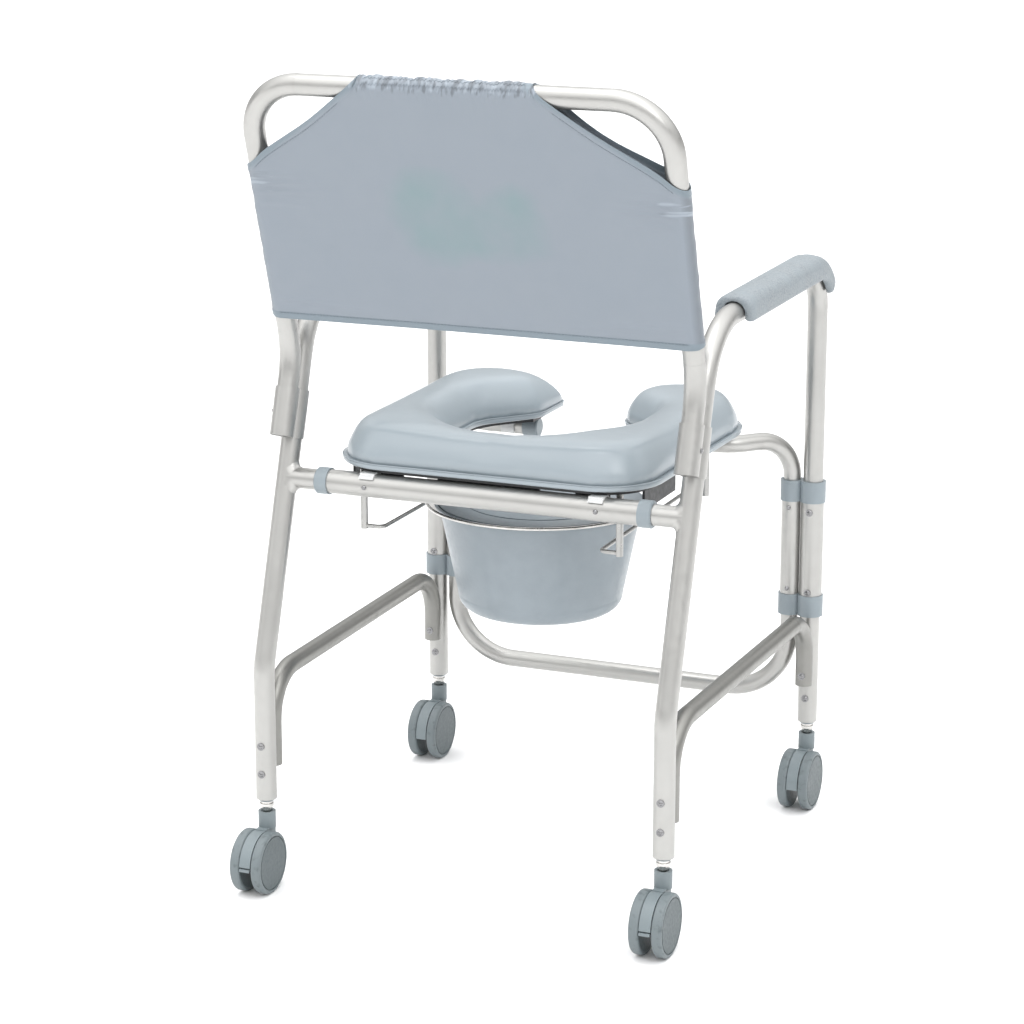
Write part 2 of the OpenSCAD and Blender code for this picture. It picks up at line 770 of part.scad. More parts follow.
// Disc with a shallow ring groove on top, a spigot inside the rim and a bar grip.
module pail_lid() {
  top = pail_rim_z + 2.6;
  color(pail_grey) translate([0, pail_y, 0]) {
    difference() {
      translate([0, 0, pail_rim_z + 0.3]) cylinder(r = lid_r, h = 2.3, $fn = 96);
      translate([0, 0, top - 0.8]) difference() {
        cylinder(r = 96, h = 1, $fn = 96);
        translate([0, 0, -1]) cylinder(r = 92, h = 3, $fn = 96);
      }
    }
    translate([0, 0, pail_rim_z - 5]) difference() {
      cylinder(r = pail_top_r - pail_wall - 1.8, h = 5.5, $fn = 96);
      translate([0, 0, -1]) cylinder(r = pail_top_r - pail_wall - 3.8, h = 8, $fn = 96);
    }
    translate([0, 0, top - 0.2]) grip_bar(lid_grip.y, lid_grip.z);
    translate([0, 0, top + lid_grip.z - 0.2]) grip_bar(lid_grip.y - 4, 1.6);
  }
}

module grip_bar(w, h) {
  linear_extrude(h) {
    square([lid_grip.x, w], center = true);
    for (s = [left, right]) translate([s * lid_grip.x / 2, 0]) circle(d = w);
  }
}

module pail_handle() {
  rear = handle_r + 7.5;
  color(steel) translate([0, pail_y, handle_z])
    bent_bar([[145, 0, 0], [handle_r, 0, 0], [handle_r, rear, 0], [-handle_r, rear, 0],
      [-handle_r, 0, 0], [-145, 0, 0]], [3.4, handle_r - 2, handle_r - 2, 3.4], handle_d, 0);
}

// ---------- casters ----------

module caster_stems() {
  flange_z = barrel_top_z + 1;
  color(steel) for (p = casters) translate([p.x, p.y, 0]) {
    translate([0, 0, 77]) cylinder(d = stem_d, h = 73);
    translate([0, 0, flange_z]) cylinder(d1 = 12, d2 = 17, h = 6);
    translate([0, 0, flange_z + 6]) cylinder(d = 17, h = 3);
    translate([0, 0, flange_z + 9]) cylinder(d = 14, h = leg_end_z - 2.2 - flange_z - 9);
  }
}

// Side view of a hood, Y across and Z up, in the caster's own frame.
module hood_side(braked) {
  intersection() {
    union() {
      translate([trail, wheel_r]) circle(r = hood_r);
      translate([-8, 55]) square([26, barrel_bottom_z - 55 + 2]);
    }
    union() {
      translate([-40, wheel_r - 4]) square([trail + 55, 80]);
      translate([trail, wheel_r + (braked ? 3.5 : -4)]) square([60, 80]);
    }
  }
}

module caster_hood(p, braked) {
  slot = 5;
  color(caster_grey) translate(p) difference() {
    union() {
      rotate([90, 0, 90]) linear_extrude(2 * hood_half, center = true) hood_side(braked);
      translate([0, 0, barrel_bottom_z]) cylinder(d = barrel_d, h = barrel_top_z - barrel_bottom_z);
    }
    translate([0, 0, 76]) cylinder(d = stem_d + fit, h = 40);
    translate([0, 0, barrel_top_z - 1.5]) cylinder(d = 14, h = 3);
    along_x([-20, trail, wheel_r]) cylinder(d = axle_d + 0.04, h = 40);
    if (braked) {
      translate([-slot, 38, 20]) cube([2 * slot, 19, 32]);
      along_x([-20, brake_pivot.x, brake_pivot.y]) cylinder(d = brake_pin_d + fit, h = 40, $fn = 32);
    }
  }
}

module caster_axle(p) {
  color(steel) along_x(p + [-18, trail, wheel_r]) cylinder(d = axle_d, h = 36);
}

// Wheel of revolution about the axle: rounded tread, face disc inside a groove, blind bore.
module caster_wheel(p, s) {
  edge = 3;
  disc_r = 31.5;
  color(caster_grey) translate(p + [s * (hood_half + wheel_gap), trail, wheel_r])
    rotate([0, s * 90, 0]) rotate_extrude($fn = 96) difference() {
      union() {
        square([wheel_r - edge, wheel_w]);
        translate([0, edge]) square([wheel_r, wheel_w - 2 * edge]);
        for (x = [edge, wheel_w - edge]) translate([wheel_r - edge, x]) circle(r = edge, $fn = 32);
      }
      translate([disc_r, wheel_w - 1.2]) square([1.2, 3]);
      translate([-1, -1]) square([axle_d / 2 + 1 + fit / 2, wheel_w - 0.8]);
    }
}

module brake_lever(p) {
  color(caster_grey) translate(p) {
    rotate([90, 0, 90]) linear_extrude(9.2, center = true) {
      translate(brake_pivot) circle(d = 8, $fn = 32);
      polygon([[42.4, 45], [49.6, 45], [50, 39.5], [58, 39.5], [58, 36], [44, 36]]);
    }
    translate([-6.6, 52, 35.8]) cube([13.2, 10.2, 3.4]);
    along_x([-6.8, brake_pivot.x, brake_pivot.y]) cylinder(d = brake_pin_d, h = 13.6, $fn = 32);
  }
}

side_tube(left);  // side_tube_left
side_tube(right);  // side_tube_right
side_brace(left);  // side_brace_left
side_brace(right);  // side_brace_right
crossbar_stubs();
rear_crossbar();
crossbar_collars();
crossbar_button(left);  // crossbar_button_left
crossbar_button(right);  // crossbar_button_right
front_sleeve(left);  // front_sleeve_left
front_sleeve(right);  // front_sleeve_right
sleeve_end_caps();
lower_cross_tube();
seat_arm(left);  // seat_arm_left
seat_arm(right);  // seat_arm_right
seat_arm_plugs();
sleeve_button(left, upper_button_z);  // upper_sleeve_button_left
sleeve_button(right, upper_button_z);  // upper_sleeve_button_right
sleeve_button(left, lower_button_z);  // lower_sleeve_button_left
sleeve_button(right, lower_button_z);  // lower_sleeve_button_right
back_socket(left);  // back_socket_left
back_socket(right);  // back_socket_right
brace_rivets();
bracket_rivets();
leg_inserts();
arm_pad(left);  // arm_pad_left
arm_pad(right);  // arm_pad_right
seat_cushion();
seat_pan();
seat_clips();
pail_rail(left);  // pail_rail_left
pail_rail(right);  // pail_rail_right
pail();
pail_lid();
pail_handle();
back_tube();
back_upholstery();
back_button(left);  // back_button_left
back_button(right);  // back_button_right
caster_stems();
caster_hood(rear_left, true);  // rear_left_hood
caster_hood(rear_right, true);  // rear_right_hood
caster_hood(front_left, false);  // front_left_hood
caster_hood(front_right, false);  // front_right_hood
caster_axle(rear_left);  // rear_left_axle
caster_axle(rear_right);  // rear_right_axle
caster_axle(front_left);  // front_left_axle
caster_axle(front_right);  // front_right_axle
caster_wheel(rear_left, left);  // rear_left_outer_wheel
caster_wheel(rear_left, right);  // rear_left_inner_wheel
caster_wheel(rear_right, right);  // rear_right_outer_wheel
caster_wheel(rear_right, left);  // rear_right_inner_wheel
caster_wheel(front_left, left);  // front_left_outer_wheel
caster_wheel(front_left, right);  // front_left_inner_wheel
caster_wheel(front_right, right);  // front_right_outer_wheel
caster_wheel(front_right, left);  // front_right_inner_wheel
brake_lever(rear_left);  // rear_left_brake
brake_lever(rear_right);  // rear_right_brake
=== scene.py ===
"""Looks of a commode chair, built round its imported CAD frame.

Metres, in the row frame: the sitter faces -Y.
"""

import json
import math

import bmesh
import bpy
import numpy as np
from mathutils import Matrix, Vector, noise


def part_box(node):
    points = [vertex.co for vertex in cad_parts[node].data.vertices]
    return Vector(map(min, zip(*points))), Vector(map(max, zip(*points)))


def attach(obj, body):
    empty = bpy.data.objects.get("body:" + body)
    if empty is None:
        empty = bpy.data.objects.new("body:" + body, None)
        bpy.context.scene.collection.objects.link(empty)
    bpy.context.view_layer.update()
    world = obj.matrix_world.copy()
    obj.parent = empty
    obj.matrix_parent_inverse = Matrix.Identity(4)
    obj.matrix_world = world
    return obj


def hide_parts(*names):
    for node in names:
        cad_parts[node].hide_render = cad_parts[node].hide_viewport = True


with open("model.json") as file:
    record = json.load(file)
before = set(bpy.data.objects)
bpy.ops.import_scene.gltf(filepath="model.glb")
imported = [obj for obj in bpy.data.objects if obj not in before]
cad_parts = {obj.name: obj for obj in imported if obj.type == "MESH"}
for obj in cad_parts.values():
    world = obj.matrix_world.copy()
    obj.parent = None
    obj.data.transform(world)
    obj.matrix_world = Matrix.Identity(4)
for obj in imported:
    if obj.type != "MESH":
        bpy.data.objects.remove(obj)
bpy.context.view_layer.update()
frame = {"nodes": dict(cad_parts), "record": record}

MM = 0.001
SIDES = (1, -1)
TUBE_R = 12.5 * MM
SILVER = (0.44, 0.437, 0.423)
RANGE_SOCKETS = ("From Min", "From Max", "To Min", "To Max")


# ---------- meshes ----------


def mesh_piece(name, points, faces, material, body):
    """A smooth-shaded mesh that rides on a body."""
    mesh = bpy.data.meshes.new(name)
    mesh.from_pydata([tuple(p) for p in points], [], faces)
    mesh.polygons.foreach_set("use_smooth", [True] * len(mesh.polygons))
    mesh.update()
    piece = bpy.data.objects.new(name, mesh)
    bpy.context.scene.collection.objects.link(piece)
    mesh.materials.append(material)
    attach(piece, body)
    return piece


def grid_faces(rows, columns, wrap=False, start=0):
    """Quads of a grid of points, wrap joins each row's last point to its first."""
    faces = []
    for i in range(rows - 1):
        for j in range(columns if wrap else columns - 1):
            k = (j + 1) % columns
            faces.append(tuple(start + n for n in (
                i * columns + j, i * columns + k, (i + 1) * columns + k, (i + 1) * columns + j)))
    return faces


def loft(rings):
    """Points and faces of a closed skin over rings of equal size, with a cap at each end."""
    rings = [np.asarray(r, float) for r in rings]
    count, size = len(rings), len(rings[0])
    faces = grid_faces(count, size, wrap=True)
    faces.append(tuple(reversed(range(size))))
    faces.append(tuple(range((count - 1) * size, count * size)))
    return np.concatenate(rings), faces


def frames_along(points, closed, up):
    """Tangent, side and normal at each point of a path, with the side square to up."""
    p = np.asarray(points, float)
    if closed:
        tangent = np.roll(p, -1, 0) - np.roll(p, 1, 0)
    else:
        tangent = np.gradient(p, axis=0)
    tangent /= np.linalg.norm(tangent, axis=1)[:, None]
    side = np.cross(tangent, np.broadcast_to(np.asarray(up, float), p.shape))
    side /= np.linalg.norm(side, axis=1)[:, None]
    return tangent, side, np.cross(side, tangent)


def round_bar(points, radius, sides=10, closed=False, up=(0, 0, 1)):
    """Points and faces of a round bar along a path."""
    p = np.asarray(points, float)
    _, side, normal = frames_along(p, closed, up)
    angles = np.arange(sides) * 2 * math.pi / sides
    rings = [
        q + radius * (np.outer(np.cos(angles), s) + np.outer(np.sin(angles), n))
        for q, s, n in zip(p, side, normal)
    ]
    if not closed:
        return loft(rings)
    faces = grid_faces(len(rings), sides, wrap=True)
    last = (len(rings) - 1) * sides
    for j in range(sides):
        k = (j + 1) % sides
        faces.append((last + j, last + k, k, j))
    return np.concatenate(rings), faces


def joined(parts):
    """Several (points, faces) pairs as one."""
    points, faces, start = [], [], 0
    for p, f in parts:
        points.append(np.asarray(p, float))
        faces += [tuple(start + i for i in face) for face in f]
        start += len(p)
    return np.concatenate(points), faces


def filleted(corners, step):
    """An open path through 2-D corners (x, y, radius), with round corners sampled about every step."""
    path = [Vector(corners[0][:2])]
    for before, here, after in zip(corners, corners[1:], corners[2:]):
        c, radius = Vector(here[:2]), here[2]
        a, b = (Vector(before[:2]) - c).normalized(), (Vector(after[:2]) - c).normalized()
        half = a.angle(b) / 2
        cut = radius / math.tan(half)
        centre = c + (a + b).normalized() * radius / math.sin(half)
        start, end = c + a * cut - centre, c + b * cut - centre
        turn = start.angle_signed(end)
        steps = max(int(abs(turn) * radius / step), 3)
        for i in range(steps + 1):
            path.append(centre + Matrix.Rotation(-turn * i / steps, 2) @ start)
    path.append(Vector(corners[-1][:2]))
    return np.array([tuple(p) for p in path])


def resampled(path, count):
    """count points evenly spaced along a path."""
    path = np.asarray(path, float)
    along = np.concatenate([[0], np.cumsum(np.linalg.norm(np.diff(path, axis=0), axis=1))])
    wanted = np.linspace(0, along[-1], count)
    return np.stack([np.interp(wanted, along, path[:, k]) for k in range(path.shape[1])], 1)


def split_at(path, places):
    """The stretches of a path between the points nearest to the given places."""
    path = np.asarray(path, float)
    cuts = [int(np.argmin(np.linalg.norm(path - np.array(q), axis=1))) for q in places]
    return [path[a:b + 1] for a, b in zip(cuts, cuts[1:])]


def axle_x(name):
    """How far out an axle's middle is, which is also where its leg's tube is."""
    low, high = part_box(name)
    return (low.x + high.x) / 2


# ---------- sizes that the finishes also use ----------

BACK_RAKE = math.radians(17.2)
COVER_R = TUBE_R + 1.1 * MM
TOP_HALF = 104 * MM
TOP_SHIFT = 7 * MM
CHAMFER_DROP = 99.5 * MM
HEM = 7.5 * MM
WHEEL_FACE_R = 33 * MM


# ---------- materials ----------


class Finish:
    """A procedural material on one Principled shader, built a texture at a time."""

    def __init__(self, name, color, roughness, metallic=0.0, coat=0.0, specular=0.5):
        self.material = bpy.data.materials.new(name)
        self.material.use_nodes = True
        self.tree = self.material.node_tree
        self.shader = self.tree.nodes["Principled BSDF"]
        self.color = color
        self.shader.inputs["Base Color"].default_value = (*color, 1)
        self.shader.inputs["Roughness"].default_value = roughness
        self.shader.inputs["Metallic"].default_value = metallic
        self.shader.inputs["Coat Weight"].default_value = coat
        self.shader.inputs["Specular IOR Level"].default_value = specular
        self.place = self.node("ShaderNodeTexCoord").outputs["Object"]
        self.normal = None

    def node(self, kind, **settings):
        made = self.tree.nodes.new(kind)
        for key, value in settings.items():
            setattr(made, key, value)
        return made

    def link(self, output, socket):
        self.tree.links.new(output, socket)

    def noise(self, size, detail=3.0, stretch=(1, 1, 1)):
        """Noise whose blobs are about size across."""
        place = self.place
        if stretch != (1, 1, 1):
            mapping = self.node("ShaderNodeMapping")
            mapping.inputs["Scale"].default_value = stretch
            self.link(place, mapping.inputs["Vector"])
            place = mapping.outputs["Vector"]
        made = self.node("ShaderNodeTexNoise")
        made.inputs["Scale"].default_value = 1 / size
        made.inputs["Detail"].default_value = detail
        self.link(place, made.inputs["Vector"])
        return made.outputs["Fac"]

    def cells(self, size, smooth):
        """Rounded cells about size across."""
        made = self.node("ShaderNodeTexVoronoi", feature="SMOOTH_F1")
        made.inputs["Scale"].default_value = 1 / size
        made.inputs["Smoothness"].default_value = smooth
        self.link(self.place, made.inputs["Vector"])
        return made.outputs["Distance"]

    def ranged(self, value, low, high, to_low, to_high):
        """Value moved from the range low to high into the range to_low to to_high, and clamped."""
        made = self.node("ShaderNodeMapRange")
        self.link(value, made.inputs["Value"])
        for socket, number in zip(RANGE_SOCKETS, (low, high, to_low, to_high)):
            made.inputs[socket].default_value = number
        return made.outputs["Result"]

    def math(self, operation, a, b=None):
        made = self.node("ShaderNodeMath", operation=operation)
        for socket, value in zip(made.inputs, (a, b)):
            if value is None:
                continue
            if isinstance(value, (int, float)):
                socket.default_value = value
            else:
                self.link(value, socket)
        return made.outputs[0]

    def tint(self, value, low, high, other):
        """Mixes another colour in where value rises from low to high."""
        source = self.shader.inputs["Base Color"]
        mix = self.node("ShaderNodeMix", data_type="RGBA")
        self.link(self.ranged(value, low, high, 0, 1), mix.inputs["Factor"])
        if source.links:
            self.link(source.links[0].from_socket, mix.inputs["A"])
        else:
            mix.inputs["A"].default_value = (*self.color, 1)
        mix.inputs["B"].default_value = (*other, 1)
        self.link(mix.outputs["Result"], source)
        return self

    def vary_roughness(self, value, low, high, to_low, to_high):
        self.link(self.ranged(value, low, high, to_low, to_high), self.shader.inputs["Roughness"])
        return self

    def bump(self, height, depth, strength=1.0):
        """Adds relief of about depth metres."""
        made = self.node("ShaderNodeBump")
        made.inputs["Strength"].default_value = strength
        made.inputs["Distance"].default_value = depth
        self.link(height, made.inputs["Height"])
        if self.normal is not None:
            self.link(self.normal, made.inputs["Normal"])
        self.normal = made.outputs["Normal"]
        self.link(self.normal, self.shader.inputs["Normal"])
        return self


def shade(color, factor):
    """A colour made darker or lighter."""
    return tuple(c * factor for c in color)


def aluminium(name="satin_aluminium", color=SILVER, roughness=0.36):
    """Blasted and clear-anodised tube: fine grain, faint cloudy gloss."""
    f = Finish(name, color, roughness, metallic=0.85)
    cloud = f.noise(60 * MM, 2)
    f.tint(cloud, 0.35, 0.75, shade(color, 0.93))
    f.vary_roughness(f.noise(9 * MM, 4), 0.3, 0.7, roughness - 0.05, roughness + 0.06)
    f.bump(f.noise(0.45 * MM, 2), 0.05 * MM, 0.35)
    return f.material


def bright_steel(name="bright_steel", color=(0.62, 0.61, 0.59), roughness=0.2):
    f = Finish(name, color, roughness, metallic=1.0)
    f.vary_roughness(f.noise(3 * MM, 3), 0.3, 0.7, roughness - 0.05, roughness + 0.1)
    f.tint(f.noise(12 * MM, 2), 0.45, 0.8, shade(color, 0.8))
    f.bump(f.noise(0.3 * MM, 2, stretch=(1, 6, 1)), 0.02 * MM, 0.4)
    return f.material


def moulded_plastic(name, color, roughness=0.42, grain=1.3 * MM, coat=0.0, depth=0.03 * MM):
    """Moulded plastic: fine spark-eroded grain, faint flow clouds, scuffs."""
    f = Finish(name, color, roughness, coat=coat)
    f.tint(f.noise(25 * MM, 3), 0.35, 0.75, shade(color, 0.92))
    f.tint(f.noise(1.2 * MM, 2), 0.62, 0.8, shade(color, 1.08))
    f.vary_roughness(f.noise(6 * MM, 4), 0.3, 0.7, roughness - 0.06, roughness + 0.08)
    f.bump(f.noise(grain, 2), depth, 0.5)
    return f.material


def seat_vinyl():
    """Smooth glossy skin with a very faint grain."""
    f = Finish("seat_vinyl", (0.276, 0.318, 0.347), 0.32, coat=0.25, specular=0.5)
    f.tint(f.noise(90 * MM, 2), 0.35, 0.75, (0.264, 0.307, 0.336))
    f.vary_roughness(f.noise(30 * MM, 2), 0.3, 0.7, 0.28, 0.34)
    f.bump(f.noise(3.5 * MM, 2), 0.03 * MM, 0.2)
    f.bump(f.noise(12 * MM, 2), 0.1 * MM, 0.2)
    f.shader.inputs["Coat Roughness"].default_value = 0.16
    return f.material


def pad_foam():
    """Pebbled skin of the arm pads, with painted shade in the grooves between the pebbles."""
    f = Finish("arm_pad_skin", (0.25, 0.276, 0.292), 0.5, specular=0.45)
    cells = f.cells(1.9 * MM, smooth=0.55)
    # darker towards each pebble's rim, where the bump below sinks the skin: painted shade in the grooves
    f.tint(cells, 0.35, 0.75, (0.187, 0.213, 0.234))
    f.tint(f.noise(30 * MM, 2), 0.4, 0.75, (0.235, 0.268, 0.29))
    f.vary_roughness(f.noise(5 * MM, 3), 0.3, 0.7, 0.44, 0.58)
    f.bump(f.math("MULTIPLY", cells, -1.0), 0.35 * MM, 0.6)
    return f.material


def back_fabric(name="coated_nylon", color=(0.216, 0.246, 0.281)):
    """Coated plain-weave nylon: threads across and up, soft sheen, faint shifts of hue, and painted
    highlights and shade on the creases and the top gathers.
    """
    f = Finish(name, color, 0.48, specular=0.45)
    thread = 0.7 * MM
    across, up = [
        f.node("ShaderNodeTexWave", wave_type="BANDS", bands_direction=axis, wave_profile="SIN")
        for axis in ("X", "Z")
    ]
    for wave in (across, up):
        wave.inputs["Scale"].default_value = 1 / thread / 2
        wave.inputs["Distortion"].default_value = 0.6
        wave.inputs["Detail"].default_value = 1.0
        f.link(f.place, wave.inputs["Vector"])
    weave = f.math("MULTIPLY", across.outputs["Fac"], up.outputs["Fac"])
    f.tint(f.noise(60 * MM, 3), 0.35, 0.75, (0.208, 0.24, 0.277))
    f.tint(weave, 0.0, 0.5, shade(color, 1.03))
    f.tint(middle_patch(f), 0.32, 0.62, (0.178, 0.245, 0.262))
    f.tint(side_wrap(f), 0, 1, shade(color, 0.72))
    f.tint(hem_zone(f), 0, 1, (0.166, 0.209, 0.24))
    # painted highlights on the creases beside the uprights, then painted shade in their troughs
    crease_highlights = f.noise(5 * MM, 2, stretch=(0.12, 0.12, 1))
    f.tint(f.math("MULTIPLY", crease_light_zone(f), crease_highlights), 0.5, 0.62, shade(color, 1.32))
    crease_shade = f.math("MULTIPLY", crease_light_zone(f), f.noise(7 * MM, 2, stretch=(0.1, 0.1, 1)))
    f.tint(crease_shade, 0.54, 0.68, shade(color, 0.8))
    # painted shade in the folds of the gathers along the top edge, then painted highlights on their
    # crests
    gathers = f.noise(5 * MM, 2, stretch=(1, 0.3, 0.3))
    f.tint(f.math("MULTIPLY", top_zone(f), gathers), 0.46, 0.62, shade(color, 0.62))
    gather_highlights = f.math("MULTIPLY", top_zone(f), f.noise(6 * MM, 2, stretch=(1, 0.25, 0.35)))
    f.tint(gather_highlights, 0.5, 0.66, shade(color, 1.3))
    f.vary_roughness(f.noise(20 * MM, 3), 0.3, 0.7, 0.42, 0.54)
    f.bump(weave, 0.08 * MM, 0.5)
    f.shader.inputs["Sheen Weight"].default_value = 0.15
    f.shader.inputs["Sheen Roughness"].default_value = 0.4
    return f.material


def axis_of(f, axis):
    """One of X, Y and Z in the row frame, as a socket of a finish."""
    split = f.node("ShaderNodeSeparateXYZ")
    f.link(f.place, split.inputs[0])
    return split.outputs[axis]


def middle_patch(f):
    """Worn, greener patch in the middle of the panels."""
    low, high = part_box("back_upholstery")
    across = f.ranged(f.math("ABSOLUTE", axis_of(f, "X")), 60 * MM, 150 * MM, 1.0, 0.0)
    middle = (low.z + high.z) / 2 - 15 * MM
    height = f.math("ABSOLUTE", f.math("SUBTRACT", axis_of(f, "Z"), middle))
    upright = f.ranged(height, 30 * MM, 95 * MM, 1.0, 0.0)
    return f.math("MULTIPLY", f.math("MULTIPLY", across, upright), f.noise(95 * MM, 3))


def side_wrap(f):
    """Where the cloth turns round the uprights, out of the light."""
    _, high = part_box("back_upholstery")
    return f.ranged(f.math("ABSOLUTE", axis_of(f, "X")), high.x - 9 * MM, high.x - 2 * MM, 0, 1)


def hem_zone(f):
    """Doubled cloth along the bottom edge and below the chamfers, 1 inside."""
    low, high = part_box("back_upholstery")
    bottom = f.ranged(axis_of(f, "Z"), low.z + 9 * MM, low.z + 7.5 * MM, 0, 0.8)
    lean = math.cos(BACK_RAKE)
    fall = f.math("DIVIDE", f.math("SUBTRACT", high.z, axis_of(f, "Z")), lean)
    zone = bottom
    for s in SIDES:
        top = TOP_HALF + s * TOP_SHIFT
        slope = (CHAMFER_DROP + COVER_R) / (high.x - top)
        line = f.math("MULTIPLY", f.math("SUBTRACT", f.math("MULTIPLY", axis_of(f, "X"), s), top), slope)
        below = f.math("SUBTRACT", fall, line)
        zone = f.math("MAXIMUM", zone, f.ranged(below, 15 * MM, 9 * MM, 0, 0.8))
    return zone


def crease_light_zone(f):
    """Where the creases beside the uprights get painted highlights and shade, just below the chamfers.
    """
    _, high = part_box("back_upholstery")
    across = f.ranged(f.math("ABSOLUTE", axis_of(f, "X")), high.x - 75 * MM, high.x - 30 * MM, 0, 1)
    middle = high.z - (CHAMFER_DROP + 32 * MM) * math.cos(BACK_RAKE)
    height = f.math("ABSOLUTE", f.math("SUBTRACT", axis_of(f, "Z"), middle))
    return f.math("MULTIPLY", across, f.ranged(height, 12 * MM, 26 * MM, 1, 0))


def top_zone(f):
    """1 along the gathered top edge, fading out below it: where the gathers' painted shade and
    highlights go.
    """
    _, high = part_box("back_upholstery")
    return f.ranged(axis_of(f, "Z"), high.z - 32 * MM, high.z - 12 * MM, 0, 1)


def wheel_plastic(name, axle):
    """Caster wheel: darker face disc, paler scuffed tread."""
    face, tread = (0.08, 0.102, 0.109), (0.145, 0.172, 0.182)
    f = Finish(name, tread, 0.45)
    offset = f.node("ShaderNodeVectorMath", operation="SUBTRACT")
    f.link(f.place, offset.inputs[0])
    offset.inputs[1].default_value = axle
    flat = f.node("ShaderNodeVectorMath", operation="MULTIPLY")
    f.link(offset.outputs["Vector"], flat.inputs[0])
    flat.inputs[1].default_value = (0, 1, 1)
    length = f.node("ShaderNodeVectorMath", operation="LENGTH")
    f.link(flat.outputs["Vector"], length.inputs[0])
    radius = length.outputs["Value"]
    f.tint(radius, WHEEL_FACE_R + 0.2 * MM, WHEEL_FACE_R - 0.2 * MM, face)
    f.tint(f.noise(8 * MM, 4), 0.55, 0.8, shade(face, 0.9))
    f.vary_roughness(f.noise(4 * MM, 4), 0.3, 0.7, 0.38, 0.56)
    f.bump(f.noise(1.3 * MM, 2), 0.03 * MM, 0.5)
    return f.material


def floor_material():
    f = Finish("pale_floor", (0.93, 0.93, 0.93), 0.9, specular=0.1)
    f.tint(f.noise(1.2, 2), 0.3, 0.8, (0.92, 0.92, 0.925))
    return f.material


# ---------- the CAD pieces that show ----------


def dress_cad_nodes():
    """Gives every CAD node a finish.

    It is that of the material slot, except that buttons, rivets and braces get darker copies of it
    as painted shade, and that each wheel has its own.
    """
    finishes = {
        "aluminium_tube": aluminium(),
        "rail_metal": aluminium("rail_metal", (0.4, 0.4, 0.39), 0.3),
        # a darker copy of the tube aluminium on the braces: painted shade
        "brace": aluminium("brace_aluminium_painted_shade", (0.27, 0.268, 0.254), 0.38),
        "steel": bright_steel(),
        # a darker copy of the steel on buttons and rivets: painted shade of the gaps round them
        "shade_darkened_steel": bright_steel("shade_darkened_steel", (0.26, 0.26, 0.265), 0.24),
        "grey_trim": moulded_plastic("grey_trim", (0.24, 0.28, 0.305), 0.42),
        "caster_plastic": moulded_plastic("caster_grey", (0.18, 0.214, 0.228), 0.44),
        "arm_foam": pad_foam(),
        "seat_vinyl": seat_vinyl(),
        "back_fabric": back_fabric(),
        "pail_plastic": moulded_plastic("pail_plastic", (0.234, 0.272, 0.3), 0.36,
                                        grain=1.5 * MM, coat=0.12, depth=0.02 * MM),
        "black_plastic": moulded_plastic("black_plastic", (0.016, 0.017, 0.019), 0.45),
        "white_plastic": moulded_plastic("white_plastic", (0.62, 0.63, 0.63), 0.4),
    }
    for row in frame["record"]["subparts"]:
        node, slot = row["node"], row["material_slot"]
        piece = frame["nodes"][node]
        material = finishes[slot]
        if slot == "steel" and ("button" in node or "rivets" in node):
            material = finishes["shade_darkened_steel"]
        if node.startswith("side_brace"):
            material = finishes["brace"]
        if node.endswith("_wheel"):
            low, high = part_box(node)
            material = wheel_plastic(node + "_plastic", tuple((low + high) / 2))
        piece.data.materials.clear()
        piece.data.materials.append(material)
    return finishes


finishes = dress_cad_nodes()


# ---------- seat cushion ----------

SEAT_REAR_HALF = 198 * MM
SEAT_REAR_R = 70 * MM
SEAT_FRONT_R = 85 * MM
HORN_TIP_R = 13 * MM
HOLE_HALF = 110 * MM
HOLE_REAR_INSET = 79 * MM
HOLE_FRONT_INSET = 80 * MM
GAP_HALF = 54 * MM
SEAM_RISE = 7 * MM
SEAM_TUCK = 4 * MM
PIPING_R = 0.6 * MM
PIPING_POINTS = 700
CLOTH_FRAMES = 20
HORN_CURVE_R = 45 * MM
HOLE_FRONT_R = 60 * MM
HOLE_FRONT_RUN = 72 * MM
FULL_HALF = 40 * MM
# how far inside its corner a round corner runs, as a share of its radius
CORNER = 0.3


